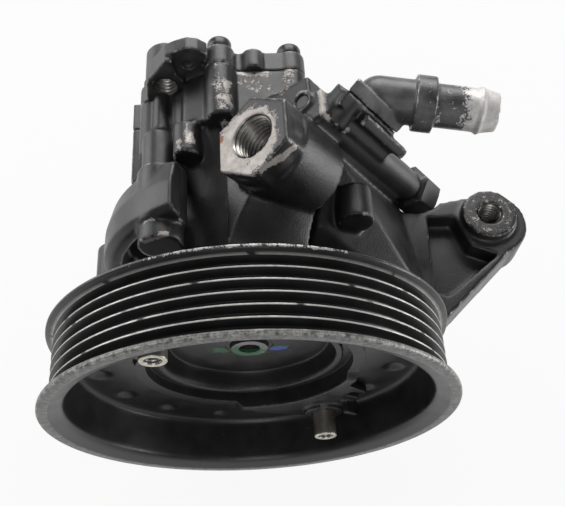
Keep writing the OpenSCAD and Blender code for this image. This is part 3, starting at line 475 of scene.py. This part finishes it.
PLATED_STEEL = metal_finish(
    "plated_steel", (0.6, 0.57, 0.5, 1), (0.36, 0.33, 0.27, 1), rough=0.3, scale=300.0
)
GROUND_STEEL = metal_finish(
    "ground_steel", (0.6, 0.6, 0.6, 1), (0.42, 0.41, 0.4, 1), rough=0.24, scale=240.0, lines=ALONG_SHAFT
)
SHAFT_STEEL = metal_finish(
    "shaft_steel", (0.3, 0.3, 0.3, 1), (0.16, 0.16, 0.16, 1), rough=0.34, scale=240.0, lines=ALONG_SHAFT,
    dabs=[(MARK_GREEN, (-1.5, 9.7, -2.5), (7.0, 1.2, 5.5))],
)
BARE_THREAD = metal_finish(
    "bare_thread", (0.44, 0.425, 0.40, 1), (0.12, 0.115, 0.105, 1), rough=0.28, scale=420.0
)
SEAL_RUBBER = soft_rubber("seal_rubber", (0.012, 0.012, 0.012, 1), (0.03, 0.029, 0.028, 1))
BUSH_BRONZE = metal_finish(
    "bush_bronze", (0.52, 0.37, 0.19, 1), (0.33, 0.23, 0.12, 1), rough=0.34, scale=260.0
)


# Mesh helpers

def grid_quads(rows, columns, close_rows=False, close_columns=False):
    """Four-sided faces between neighbouring rows and columns of a grid of points."""
    i = np.arange(rows if close_rows else rows - 1)[:, None]
    j = np.arange(columns if close_columns else columns - 1)[None, :]
    up = (i + 1) % rows
    side = (j + 1) % columns
    quads = np.stack([i * columns + j, i * columns + side, up * columns + side, up * columns + j], -1)
    return quads.reshape(-1, 4)


def settle(mesh, merged=True, turned=True):
    """Merges doubled points and turns all faces of a closed shell outwards, or does only one of the two."""
    shell = bmesh.new()
    shell.from_mesh(mesh)
    if merged:
        bmesh.ops.remove_doubles(shell, verts=shell.verts, dist=1e-6)
    if turned:
        bmesh.ops.recalc_face_normals(shell, faces=shell.faces)
    shell.to_mesh(mesh)
    shell.free()


def give(mesh, name, values):
    """Stores one value per point under that name."""
    attribute = mesh.attributes.new(name, "FLOAT", "POINT")
    attribute.data.foreach_set("value", np.asarray(values, np.float32).ravel())


def read_rows(items, key, width, kind=float):
    """One property of all of a mesh's points or edges, as the rows of an array."""
    values = np.empty(len(items) * width, kind)
    items.foreach_get(key, values)
    return values.reshape(-1, width)


def place(name, mesh, body, material, stands_for=()):
    """Puts a finished mesh in the scene as a piece that rides on a body and may stand for CAD nodes."""
    piece = bpy.data.objects.new(name, mesh)
    bpy.context.scene.collection.objects.link(piece)
    mesh.materials.clear()
    mesh.materials.append(material)
    mesh.shade_smooth()
    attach(piece, body)
    if stands_for:
        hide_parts(*stands_for)
    return piece


def eased(corners, radius, steps):
    """Closed outline with each corner cut by a curve that starts and ends at radius from it.

    The radius is one for all corners or one each. Between the cut points a and b the curve is
    (1-t)^2 a + 2t(1-t) corner + t^2 b.
    """
    corners = np.asarray(corners, float)
    before, after = np.roll(corners, 1, 0) - corners, np.roll(corners, -1, 0) - corners
    far_before, far_after = np.linalg.norm(before, axis=1), np.linalg.norm(after, axis=1)
    cut = np.minimum(radius, 0.45 * np.minimum(far_before, far_after))[:, None]
    start = corners + before / far_before[:, None] * cut
    end = corners + after / far_after[:, None] * cut
    t = np.linspace(0, 1, steps)[None, :, None]
    curve = (1 - t) ** 2 * start[:, None] + 2 * t * (1 - t) * corners[:, None] + t**2 * end[:, None]
    return curve.reshape(-1, 2)


def filled(outline, gap):
    """Closed outline with points added so that none lie further apart than gap."""
    after = np.roll(outline, -1, 0)
    counts = np.maximum(1, np.ceil(np.linalg.norm(after - outline, axis=1) / gap).astype(int))
    parts = [a + (b - a) * (np.arange(n) / n)[:, None] for a, b, n in zip(outline, after, counts)]
    return np.concatenate(parts)


def circle_turns(columns):
    """Angles of a circle's points."""
    return np.arange(columns) / columns * TURN


def revolved(outline, columns):
    """Surface of an outline of [radius, along] points turned about Y: (r cos t, along, r sin t)."""
    turn = circle_turns(columns)
    r, along = outline[:, 0:1], outline[:, 1:2]
    return np.stack([r * np.cos(turn), along + 0 * turn, r * np.sin(turn)], -1)


def stacked_rings(rings, turn):
    """Surface through rings about Y: (r cos t, along, r sin t).

    Each ring gives a radius for every turn t, and its place along.
    """
    r = np.stack([radius + 0 * turn for radius, along in rings])
    along = np.array([along for radius, along in rings])[:, None]
    return np.stack([r * np.cos(turn), along + 0 * turn, r * np.sin(turn)], -1)


def on_axis(points, centre, axis):
    """Moves a surface made about Y so that its Y runs along axis from centre, in millimetres."""
    axis = np.asarray(axis, float) / np.linalg.norm(axis)
    side = np.cross(axis, [0.0, 0.0, 1.0] if abs(axis[2]) < 0.9 else [1.0, 0.0, 0.0])
    side /= np.linalg.norm(side)
    third = np.cross(side, axis)
    return np.asarray(centre) + points[..., 0:1] * side + points[..., 1:2] * axis + points[..., 2:3] * third


def solid_of_revolution(outline, columns, centre, axis=SHAFT_AXIS):
    """Closed surface of a closed outline turned about an axis through centre, with its faces."""
    grid = on_axis(revolved(outline, columns), centre, axis)
    return grid, grid_quads(len(outline), columns, True, True)


def mesh_of(name, surfaces, settled=True):
    """Mesh of several (points grid, quads) surfaces given in millimetres."""
    points, quads, first = [], [], 0
    for grid, faces in surfaces:
        flat = grid.reshape(-1, 3)
        points.append(flat)
        quads.append(faces + first)
        first += len(flat)
    mesh = bpy.data.meshes.new(name)
    mesh.from_pydata(np.concatenate(points) * MM, [], np.concatenate(quads))
    if settled:
        settle(mesh)
    return mesh


def thread_surface(core_r, depth, pitch, length, mouth, inward):
    """Inside of a threaded hole.

    At turn t and distance s from the mouth the radius is core_r - depth * w, where w is a rounded
    wave of s / pitch - t, and it fades in over the first 0.7 of a pitch. It lies 0.02 mm inside the hole.
    """
    columns, rows = 72, int(length / pitch * 8) + 1
    s = np.linspace(0, length, rows)[:, None]
    t = (np.arange(columns) / columns)[None, :]
    wave = 0.5 - 0.5 * np.cos(TURN * (s / pitch - t))
    r = core_r - 0.02 - depth * np.clip(s / (0.7 * pitch), 0, 1) * wave**0.8
    grid = np.stack([r * np.cos(TURN * t), s + 0 * t, r * np.sin(TURN * t)], -1)
    return on_axis(grid, mouth, inward), grid_quads(rows, columns, False, True)[:, ::-1]


def neighbour_mean(values, edges):
    """Mean of each point's neighbours along the mesh's edges."""
    count = len(values)
    total = np.zeros((count, values.shape[1]))
    number = np.bincount(edges.ravel(), minlength=count)[:, None]
    for column in range(values.shape[1]):
        total[:, column] = np.bincount(edges[:, 0], values[edges[:, 1], column], count)
        total[:, column] += np.bincount(edges[:, 1], values[edges[:, 0], column], count)
    return total / np.maximum(number, 1)


def standing_out(mesh, points, edges):
    """How far each point stands out of the mean of its neighbours, along its normal."""
    normals = read_rows(mesh.vertices, "normal", 3, np.float32)
    return ((points - neighbour_mean(points, edges)) * normals).sum(1)


def give_edges(mesh, full):
    """Stores each point's standing out as its edge value, which is one from full millimetres on."""
    points, edges = read_rows(mesh.vertices, "co", 3), read_rows(mesh.edges, "vertices", 2, int)
    give(mesh, "edge", np.clip(standing_out(mesh, points, edges) / (full * MM), 0, 1))


def modified(mesh, kind, chosen=None, **settings):
    """New mesh that a modifier of that kind makes, working first on the chosen points if they are given."""
    carrier = bpy.data.objects.new(mesh.name + "_carrier", mesh)
    bpy.context.scene.collection.objects.link(carrier)
    modifier = carrier.modifiers.new(kind.lower(), kind)
    for key, value in settings.items():
        setattr(modifier, key, value)
    if chosen is not None:
        group = carrier.vertex_groups.new(name="chosen")
        group.add(np.flatnonzero(chosen).tolist(), 1.0, "REPLACE")
        modifier.vertex_group = group.name
    graph = bpy.context.evaluated_depsgraph_get()
    made = bpy.data.meshes.new_from_object(carrier.evaluated_get(graph))
    bpy.data.objects.remove(carrier)
    return made


EDGE_FULL_SHARE = 0.12
EDGE_SPREAD_PASSES = 2
THINNED_SHARE = 0.64


def cast_skin(
    name, node, voxel, passes, body, material, crisp=None, rubbed=None, pressed=None, inside_r=None
):
    """Copy of a CAD node with a casting's rounded edges.

    The copy is remeshed into cells of about one voxel. Each pass then moves every point half way to
    the mean of its neighbours, which rounds edges and corners and leaves flat faces where they are.
    Points where crisp is one keep their place, and pressed may move all points afterwards.
    How far a point stands out, over a share of the voxel and spread a little, is kept as its edge value.
    Within inside_r of the shaft, where the pump hides its faces, the mesh is thinned out.
    """
    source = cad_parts[node].data.copy()
    settle(source, turned=False)
    mesh = modified(source, "REMESH", mode="VOXEL", voxel_size=voxel * MM)
    points, edges = read_rows(mesh.vertices, "co", 3), read_rows(mesh.edges, "vertices", 2, int)
    free = 1 - crisp(points / MM)[:, None] if crisp else 1.0
    for step in range(passes):
        points = points + 0.5 * free * (neighbour_mean(points, edges) - points)
    if pressed:
        points = pressed(points / MM) * MM
    mesh.vertices.foreach_set("co", points.ravel())
    mesh.update()
    edge = np.clip(standing_out(mesh, points, edges) / (EDGE_FULL_SHARE * voxel * MM), 0, 1)[:, None]
    for step in range(EDGE_SPREAD_PASSES):
        edge = 0.5 * edge + 0.5 * neighbour_mean(edge, edges)
    give(mesh, "edge", edge)
    if rubbed:
        give(mesh, "rubbed", rubbed(points / MM))
    if inside_r:
        hidden = np.hypot(points[:, 0], points[:, 2]) < inside_r * MM
        mesh = modified(mesh, "DECIMATE", hidden, ratio=THINNED_SHARE)
    mesh.name = name
    return place(name, mesh, body, material, (node,))


# Pulley: one revolved section with eased edges, dimples pressed into the web

def pulley_section():
    """Closed outline of the pulley with eased corners: front lip, grooves, rear lip, rim and web."""
    corners = [
        (LIP_IN_R, FRONT_LIP_Y), (FRONT_LIP_R, FRONT_LIP_Y),
        (FRONT_LIP_R, FRONT_LIP_Y + LIP_LAND * FRONT_LIP_W),
    ]
    easing = [LIP_IN_EASE, LIP_OUT_EASE, CORNER_EASE]
    half_top, half_floor = (GROOVE_PITCH - RIB_TIP_W) / 2, GROOVE_FLOOR_W / 2
    floor_r = RIB_TIP_R - GROOVE_DEPTH
    for groove in range(GROOVE_COUNT):
        mid = (groove + 0.5) * GROOVE_PITCH - TRACK_HALF_W
        corners += [
            (RIB_TIP_R, mid - half_top), (floor_r, mid - half_floor),
            (floor_r, mid + half_floor), (RIB_TIP_R, mid + half_top),
        ]
        easing += [TIP_EASE, CORNER_EASE, CORNER_EASE, TIP_EASE]
    corners += [
        (REAR_LIP_R, REAR_LIP_Y - LIP_LAND * REAR_LIP_W), (REAR_LIP_R, REAR_LIP_Y), (RIM_IN_R, REAR_LIP_Y),
        (RIM_IN_R - RIM_DRAFT, WEB_REAR_Y), (WEB_IN_R, WEB_REAR_Y), (WEB_IN_R, WEB_FRONT_Y),
        (RIM_IN_R - RIM_DRAFT, WEB_FRONT_Y), (RIM_IN_R, FRONT_LIP_Y + LIP_SLOPE_L),
    ]
    easing += [CORNER_EASE] * 3 + [WEB_REAR_EASE] + [CORNER_EASE] * 2 + [WEB_FRONT_EASE, SLOPE_EASE]
    return filled(eased(corners, np.array(easing), steps=5), gap=1.1)


def wear_pulley(mesh, outline, turn):
    """Gives the pulley's points their wear.

    Rib tips are bare, with short gaps where a product of two sines of the turn is high. The front
    lip's face and outer edge are scraped. The rear lip's edge is rubbed, most of all on its upper stretch.
    """
    r, along = outline[:, 0], outline[:, 1]
    on_track = np.abs(along) < TRACK_HALF_W - 0.2
    tip = np.clip((r - RIB_TIP_R + 0.06) / 0.04, 0, 1) * on_track
    rib = np.round(along / GROOVE_PITCH)[:, None]
    gaps = np.sin(5 * turn + 2.1 * rib) * np.sin(23 * turn + 1.3 * rib)
    give(mesh, "bare", tip[:, None] * np.clip(12 - 13 * gaps, 0, 1))
    face = (along < FRONT_LIP_Y + 0.9) & (r > LIP_IN_R - 0.3)
    outer_edge = (along < FRONT_LIP_Y + 0.65 * FRONT_LIP_W) & (r > FRONT_LIP_R - 0.5)
    give(mesh, "scraped", (0.42 * face + 0.45 * outer_edge)[:, None] + 0 * turn)
    rear_edge = np.clip((r - REAR_LIP_R + 0.3) / 0.3, 0, 1) * ((along > 0) & ~on_track)
    upper = np.clip((math.radians(26) - np.abs(turn - TURN / 4)) / math.radians(6), 0, 1)
    give(mesh, "rubbed", rear_edge[:, None] * (0.25 + 0.36 * upper))
    give(mesh, "edge", np.zeros(len(mesh.vertices)))


def make_pulley():
    """Section of lips, grooves, rim and web turned about the shaft.

    The web's front face sinks by depth * (1 - d^2)^0.6 where d is the distance to the nearest dimple
    over the dimple's radius.
    """
    outline, columns = pulley_section(), 360
    grid, turn = revolved(outline, columns), circle_turns(columns)
    step = TURN / DIMPLE_COUNT
    off = (turn - SLEEVE_TURN + step / 2) % step - step / 2
    r = outline[:, 0:1]
    d2 = ((r * np.cos(off) - DIMPLE_RING_R) ** 2 + (r * np.sin(off)) ** 2) / DIMPLE_R**2
    in_dimple = (np.abs(outline[:, 1:2] - WEB_FRONT_Y) < 0.05) & (d2 < 1)
    grid[..., 1] += np.where(in_dimple, DIMPLE_DEPTH * np.clip(1 - d2, 0, 1) ** 0.6, 0)
    mesh = mesh_of("ribbed_pulley", [(grid, grid_quads(len(outline), columns, True, True))], settled=False)
    settle(mesh, merged=False)
    wear_pulley(mesh, outline, turn)
    place("ribbed_pulley", mesh, "shaft", PULLEY_PAINT, ("pulley",))


def make_sleeves():
    """Two plated sleeves with eased ends, and the thread inside each."""
    corners = [
        (SLEEVE_BORE_R, SLEEVE_TIP_Y), (SLEEVE_R, SLEEVE_TIP_Y),
        (SLEEVE_R, SLEEVE_TAIL_Y), (SLEEVE_BORE_R, SLEEVE_TAIL_Y),
    ]
    outline = filled(eased(corners, 0.5, steps=5), gap=2.0)
    tubes, threads = [], []
    for turn in (SLEEVE_TURN, SLEEVE_TURN + math.pi):
        centre = SLEEVE_RING_R * np.array([math.cos(turn), 0, math.sin(turn)])
        tubes.append(solid_of_revolution(outline, 48, centre))
        mouth = centre + [0, SLEEVE_TIP_Y + 0.3, 0]
        threads.append(thread_surface(SLEEVE_BORE_R, 0.4, 1.0, SLEEVE_THREAD_L, mouth, SHAFT_AXIS))
    sleeves = mesh_of("plated_sleeves", tubes)
    place("plated_sleeves", sleeves, "shaft", PLATED_STEEL, ("threaded_sleeves",))
    place("sleeve_thread", mesh_of("sleeve_thread", threads, False), "shaft", BARE_THREAD)


def make_valve_plug():
    """Hexagon plug with a dished end and a round shank.

    The head's radius is half the flats over cos(angle to the nearest flat), held inside a cone at each end.
    """
    turn = circle_turns(144)
    near = (turn + math.pi / 6) % (math.pi / 3) - math.pi / 6
    flat_r = PLUG_FLATS / 2
    hexagon = flat_r / np.cos(near)
    s = np.linspace(0, PLUG_HEIGHT, 40)
    end_cone = flat_r + 0.25 + PLUG_CONE_SLOPE * (PLUG_HEIGHT - s)
    seat_cone = flat_r + 0.4 + PLUG_CONE_SLOPE * s
    r = np.minimum(hexagon, np.minimum(end_cone, seat_cone)[:, None])
    dish_s = PLUG_HEIGHT - PLUG_DISH_DEPTH
    rings = [(0.0, 0.0)] + list(zip(r, s))
    rings += [(np.minimum(r[-1], PLUG_DISH_R), PLUG_HEIGHT), (np.minimum(r[-1], PLUG_DISH_R - 0.4), dish_s)]
    rings += [(0.0, dish_s)]
    head = on_axis(stacked_rings(rings, turn), PLUG_PLACE, BARREL_AXIS)
    shank = [
        (0.0, -PLUG_SHANK_L), (PLUG_SHANK_R - 0.4, -PLUG_SHANK_L), (PLUG_SHANK_R, 0.6 - PLUG_SHANK_L),
        (PLUG_SHANK_R, 0.4), (0.0, 0.4),
    ]
    body = solid_of_revolution(filled(np.array(shank), gap=2.0), 48, PLUG_PLACE, BARREL_AXIS)
    mesh = mesh_of("hexagon_plug", [(head, grid_quads(len(rings), len(turn), False, True)), body])
    give_edges(mesh, full=0.3)
    place("hexagon_plug", mesh, "housing", BOLT_PAINT, ("valve_plug",))


def make_cover_bolts():
    """Round-headed cover bolts with a six-lobed socket: its radius is SOCKET_R + SOCKET_LOBE cos 6t."""
    turn = circle_turns(72)
    lobes = SOCKET_R + SOCKET_LOBE * np.cos(6 * turn)
    seat_y, top_y = COVER_REAR_Y + 0.05, COVER_REAR_Y + BOLT_HEAD_H
    rings = [
        (0.0, BOLT_TAIL_Y), (BOLT_R - 0.5, BOLT_TAIL_Y), (BOLT_R, BOLT_TAIL_Y + 0.6), (BOLT_R, seat_y),
        (BOLT_HEAD_R - 0.2, seat_y), (BOLT_HEAD_R, COVER_REAR_Y + 0.3), (BOLT_HEAD_R, top_y - 0.9),
        (BOLT_HEAD_R - 0.25, top_y - 0.25), (BOLT_HEAD_R - 0.9, top_y),
        (lobes, top_y), (lobes, top_y - SOCKET_DEPTH), (0.0, top_y - SOCKET_DEPTH),
    ]
    shape = stacked_rings(rings, turn)
    faces = grid_quads(len(rings), len(turn), False, True)
    places = [COVER_BOLT_RING_R * np.array([math.cos(a), 0, math.sin(a)]) for a in COVER_BOLT_TURNS]
    mesh = mesh_of("socket_bolts", [(shape + at, faces) for at in places])
    give_edges(mesh, full=0.3)
    place("socket_bolts", mesh, "housing", BOLT_PAINT, ("cover_bolts",))


def make_threads():
    """Threads of the pressure port, the mounting ear and the rear lug."""
    port_l, ear_l = PORT_DEPTH - THREAD_END_GAP, EAR_BORE_L - THREAD_END_GAP
    holes = {
        "port_thread": (PORT_BORE_R, PORT_THREAD_DEPTH, COARSE_PITCH, port_l, PORT_PLACE, BARREL_AXIS),
        "ear_thread": (EAR_BORE_R, COARSE_DEPTH, COARSE_PITCH, ear_l, EAR_PLACE, DOWN_AXIS),
        "lug_thread": (LUG_BORE_R, COARSE_DEPTH, COARSE_PITCH, LUG_L, LUG_PLACE, SHAFT_AXIS),
    }
    for name, hole in holes.items():
        mesh = mesh_of(name, [thread_surface(*hole)], False)
        place(name, mesh, "housing", BARE_THREAD)


# Rubbed places, in millimetres: line from, line to, reach, and how fully the paint is gone
HOUSING_RUBS = [
    ((-5.2, 88.0, 38.0), (-4.8, 80.0, 37.6), 3.8, 0.62),
    ((-7.0, 95.0, 38.0), (-7.0, 89.0, 38.0), 2.8, 0.42),
    ((-5.5, 78.0, 34.0), (-5.5, 74.0, 33.0), 1.8, 0.62),
    ((-1.0, 96.8, 33.0), (9.5, 96.3, 33.0), 2.0, 0.66),
    ((1.0, 92.8, 33.0), (8.5, 89.5, 33.0), 3.2, 0.46),
    ((16.8, 97.0, 34.0), (15.6, 86.0, 36.5), 3.2, 0.6),
    ((-17.0, 72.6, 31.2), (-16.4, 71.0, 31.2), 2.3, 0.8),
    ((-20.5, 70.4, 30.2), (-19.8, 68.0, 30.2), 1.4, 0.7),
    ((-17.6, 77.5, 31.3), (-17.3, 73.0, 31.3), 0.6, 0.7),
    ((-30.2, 31.6, 33.8), (-23.6, 32.2, 36.7), 1.2, 0.9),
    ((-30.0, 37.0, 35.5), (-27.5, 37.4, 36.6), 0.8, 0.65),
    ((25.4, 76.5, 48.1), (25.4, 66.0, 48.1), 1.5, 0.9),
    ((25.4, 66.0, 48.1), (32.9, 66.0, 38.7), 0.8, 0.8),
    ((33.6, 65.6, 40.2), (33.8, 65.6, 39.8), 1.1, 0.7),
    ((5.6, 44.4, 50.6), (15.2, 49.6, 53.5), 1.3, 0.9),
]
ELBOW_RUBS = [
    ((84.5, 72.9, 37.2), (98.0, 70.4, 37.1), 13.0, 1.8),
    ((79.6, 73.8, 37.3), (81.0, 73.5, 37.3), 9.0, 0.62),
    ((62.0, 76.9, 37.4), (80.0, 73.7, 37.3), 9.0, 0.46),
    ((72.0, 75.0, 45.6), (79.5, 73.7, 45.6), 1.0, 0.75),
]


def rubbed_level(points, rubs):
    """Largest of strength * (1.4 - d / reach), where d is the distance to a rub's line.

    Each is kept inside 0..strength.
    """
    level = np.zeros(len(points))
    for start, end, reach, strength in rubs:
        start, along = np.asarray(start, float), np.subtract(end, start).astype(float)
        t = np.clip((points - start) @ along / (along @ along), 0, 1)
        d = np.linalg.norm(points - start - t[:, None] * along, axis=1)
        level = np.maximum(level, strength * np.clip(1.4 - d / reach, 0, 1))
    return level


def elbow_rubs(points):
    return rubbed_level(points, ELBOW_RUBS)


def housing_rubs(points):
    """Rubbed lines, the machined port face round its bore, and faint rings on the ear's face.

    On the port face the level falls from the bore to nothing near the boss's rim, sooner on its outer side.
    On the ear it is a wave of the distance to the bore.
    """
    level = rubbed_level(points, HOUSING_RUBS)
    from_port = points - PORT_PLACE
    along = from_port @ BARREL_AXIS
    far = np.linalg.norm(from_port - np.outer(along, BARREL_AXIS), axis=1)
    side = (from_port @ OUT_AXIS + 0.6 * from_port[:, 1]) / 14.0
    face = np.clip((0.9 - np.abs(along)) / 0.4, 0, 1) * np.clip((14.6 - 3.4 * side - far) / 4.5, 0, 1)
    level = np.maximum(level, 0.9 * face)
    from_ear = np.linalg.norm(points[:, :2] - EAR_PLACE[:2], axis=1)
    on_ear = (np.abs(points[:, 2] - EAR_PLACE[2]) < 0.7) & (from_ear < 10.5)
    rings = 0.36 + 0.07 * np.cos(TURN * from_ear / 2.4)
    return np.maximum(level, np.where(on_ear, rings, 0))


def port_zone(points):
    """Three quarters at and in front of the machined port face, where edges stay crisp, else nothing."""
    return 0.75 * ((points - PORT_PLACE) @ BARREL_AXIS < 0.8)


def ramp(value, low, high):
    """Rises smoothly from zero at low to one at high: 3t^2 - 2t^3 of the share t of the way."""
    t = np.clip((value - low) / (high - low), 0, 1)
    return t * t * (3 - 2 * t)


def press_hub(points):
    """Steep wall and domed floor of the hub's bowl, a shallow ring round it, a thin plate between the ears.

    With r the distance from the shaft, the bowl's front face sinks within 1.7 mm of its rim to
    BOWL_Y - BOWL_DOME * (1 - r / BOWL_DOME_R). The ring's floor rises to RING_Y. Away from the ears
    the plate sinks to PLATE_Y.
    """
    r = np.hypot(points[:, 0], points[:, 2])
    given_y = points[:, 1]
    turn = np.arctan2(points[:, 2], points[:, 0]) - SLEEVE_TURN
    from_ear = np.abs((turn + math.pi / 2) % math.pi - math.pi / 2)
    bowl = (given_y < CAD_BOWL_Y + 0.5) & (r < BOWL_RIM_R) & (r > SHAFT_END_R + 1.5)
    floor_y = BOWL_Y - BOWL_DOME * (1 - r / BOWL_DOME_R)
    sunk_y = given_y + (floor_y - given_y) * ramp(r, BOWL_RIM_R - 0.1, BOWL_RIM_R - 1.7)
    y = np.where(bowl, np.maximum(given_y, sunk_y), given_y)
    ring = (r > BOWL_RIM_R + 1.6) & (r < RING_OUT_R) & (given_y > RING_Y) & (given_y < CAD_RING_Y)
    y = np.where(ring, RING_Y + 0.1 * (y - RING_Y), y)
    plate = (r > PLATE_IN_R) & (r < PLATE_OUT_R) & (y < PLATE_Y)
    y = np.where(plate, y + (PLATE_Y - y) * ramp(from_ear, EAR_END_TURN, PLATE_START_TURN), y)
    return np.stack([points[:, 0], y, points[:, 2]], 1)


make_pulley()
make_sleeves()
make_valve_plug()
make_cover_bolts()
make_threads()
cast_skin(
    "cast_housing", "front_housing", voxel=0.72, passes=2, body="housing", material=HOUSING_PAINT,
    crisp=port_zone, rubbed=housing_rubs, inside_r=31,
)
cast_skin(
    "cast_cover", "rear_cover", voxel=0.5, passes=3, body="housing", material=COVER_PAINT,
)
cast_skin(
    "cast_elbow", "suction_elbow", voxel=0.4, passes=3, body="housing", material=ELBOW_PAINT,
    rubbed=elbow_rubs,
)
cast_skin(
    "dished_hub", "drive_hub", voxel=0.5, passes=2, body="shaft", material=HUB_PAINT,
    pressed=press_hub,
)

NODE_FINISH = {
    "drive_shaft": SHAFT_STEEL, "rotor": GROUND_STEEL, "vanes": PLATED_STEEL,
    "bearing_inner_ring": GROUND_STEEL, "bearing_balls": PLATED_STEEL, "bearing_cage": BUSH_BRONZE,
    "bearing_outer_ring": GROUND_STEEL, "bearing_circlip": GROUND_STEEL, "shaft_seal": SEAL_RUBBER,
    "front_pressure_plate": GROUND_STEEL, "cam_ring": GROUND_STEEL, "rear_pressure_plate": GROUND_STEEL,
    "dowel_pins": PLATED_STEEL, "cover_o_ring": SEAL_RUBBER, "rear_bush": BUSH_BRONZE,
    "sealing_plug": BOLT_PAINT, "valve_spool": GROUND_STEEL, "valve_spring": GROUND_STEEL,
    "valve_plug_o_ring": SEAL_RUBBER, "elbow_o_ring": SEAL_RUBBER, "elbow_bolt": PLATED_STEEL,
}
for node, finish in NODE_FINISH.items():
    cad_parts[node].data.materials.clear()
    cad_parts[node].data.materials.append(finish)


# Stage, light and camera, in metres

FLOOR_HALF = 12.0
FLOOR_Z = cad_low.z - 0.0005
FLOOR_GREY = (0.55, 0.55, 0.55, 1)
FLOOR_WHITE_SHARE = 0.92
WORLD_LEVEL = 0.18
PHOTO_WIDTH_PX = 565
FOCAL_LENGTH_PX = 800
SENSOR_WIDTH = 36.0
CAMERA_PLACE = Vector((0.0, -0.089451, 0.240860))
CAMERA_RIGHT = Vector((0.99819818, -0.05608673, 0.02132291))
CAMERA_UP = Vector((0.03859869, 0.8722834, 0.48747494))
CAMERA_BACK = Vector((-0.0459405, -0.48577357, 0.87287657))


def make_floor():
    """Pale floor under the pump: mostly white to the camera, with the pump's soft shadow kept."""
    material, tree, shader = new_material("pale_floor")
    shader.inputs["Base Color"].default_value = FLOOR_GREY
    shader.inputs["Roughness"].default_value = 0.9
    path = put(tree, "ShaderNodeLightPath")
    seen = maths(tree, "MAXIMUM", path.outputs["Is Camera Ray"], path.outputs["Is Glossy Ray"])
    seen = maths(tree, "MAXIMUM", seen, path.outputs["Is Transmission Ray"])
    white = put(tree, "ShaderNodeEmission", Color=(1, 1, 1, 1), Strength=1.0)
    mix = put(tree, "ShaderNodeMixShader", Fac=maths(tree, "MULTIPLY", seen, FLOOR_WHITE_SHARE))
    tree.links.new(shader.outputs[0], mix.inputs[1])
    tree.links.new(white.outputs[0], mix.inputs[2])
    tree.links.new(mix.outputs[0], tree.nodes["Material Output"].inputs["Surface"])
    corners = [(x * FLOOR_HALF, y * FLOOR_HALF, FLOOR_Z) for x, y in ((-1, -1), (1, -1), (1, 1), (-1, 1))]
    mesh = bpy.data.meshes.new("floor")
    mesh.from_pydata(corners, [], [(0, 1, 2, 3)])
    mesh.materials.append(material)
    floor = bpy.data.objects.new("floor", mesh)
    bpy.context.scene.collection.objects.link(floor)


def make_world():
    """Even grey light from all round."""
    world = bpy.data.worlds.new("studio")
    bpy.context.scene.world = world
    world.use_nodes = True
    backing = world.node_tree.nodes["Background"]
    backing.inputs["Color"].default_value = (1, 1, 1, 1)
    backing.inputs["Strength"].default_value = WORLD_LEVEL


def add_softbox(name, place_at, power, size, height=None):
    """Soft light aimed at the pump's middle, square unless a height is given."""
    lamp = bpy.data.lights.new(name, "AREA")
    lamp.energy = power
    lamp.size = size
    if height:
        lamp.shape = "RECTANGLE"
        lamp.size_y = height
    box = bpy.data.objects.new(name, lamp)
    bpy.context.scene.collection.objects.link(box)
    middle = (cad_low + cad_high) / 2
    box.location = place_at
    box.rotation_mode = "QUATERNION"
    box.rotation_quaternion = (middle - Vector(place_at)).to_track_quat("-Z", "Y")


def make_camera():
    """Camera fitted to the photograph: its place, its three axes and its focal length in pixels."""
    data = bpy.data.cameras.new("camera")
    data.sensor_fit = "HORIZONTAL"
    data.sensor_width = SENSOR_WIDTH
    data.lens = SENSOR_WIDTH * FOCAL_LENGTH_PX / PHOTO_WIDTH_PX
    data.clip_start, data.clip_end = 0.01, 20
    camera = bpy.data.objects.new("camera", data)
    bpy.context.scene.collection.objects.link(camera)
    axes = Matrix((CAMERA_RIGHT, CAMERA_UP, CAMERA_BACK)).transposed().to_4x4()
    axes.translation = CAMERA_PLACE
    camera.matrix_world = axes
    bpy.context.scene.camera = camera


make_floor()
make_world()
add_softbox("key_light", place_at=(0.08, 0.7, 0.5), power=7.0, size=0.7, height=0.55)
add_softbox("left_light", place_at=(-0.6, 0.36, 0.22), power=2.7, size=0.5)
add_softbox("right_light", place_at=(0.72, 0.0, 0.05), power=2.8, size=0.5, height=0.22)
add_softbox("front_light", place_at=(-0.06, -0.48, 0.66), power=0.9, size=0.3)
add_softbox("low_front_light", place_at=(-0.02, -0.70, 0.30), power=0.8, size=0.3)
make_camera()
bpy.context.scene.view_settings.view_transform = "Standard"
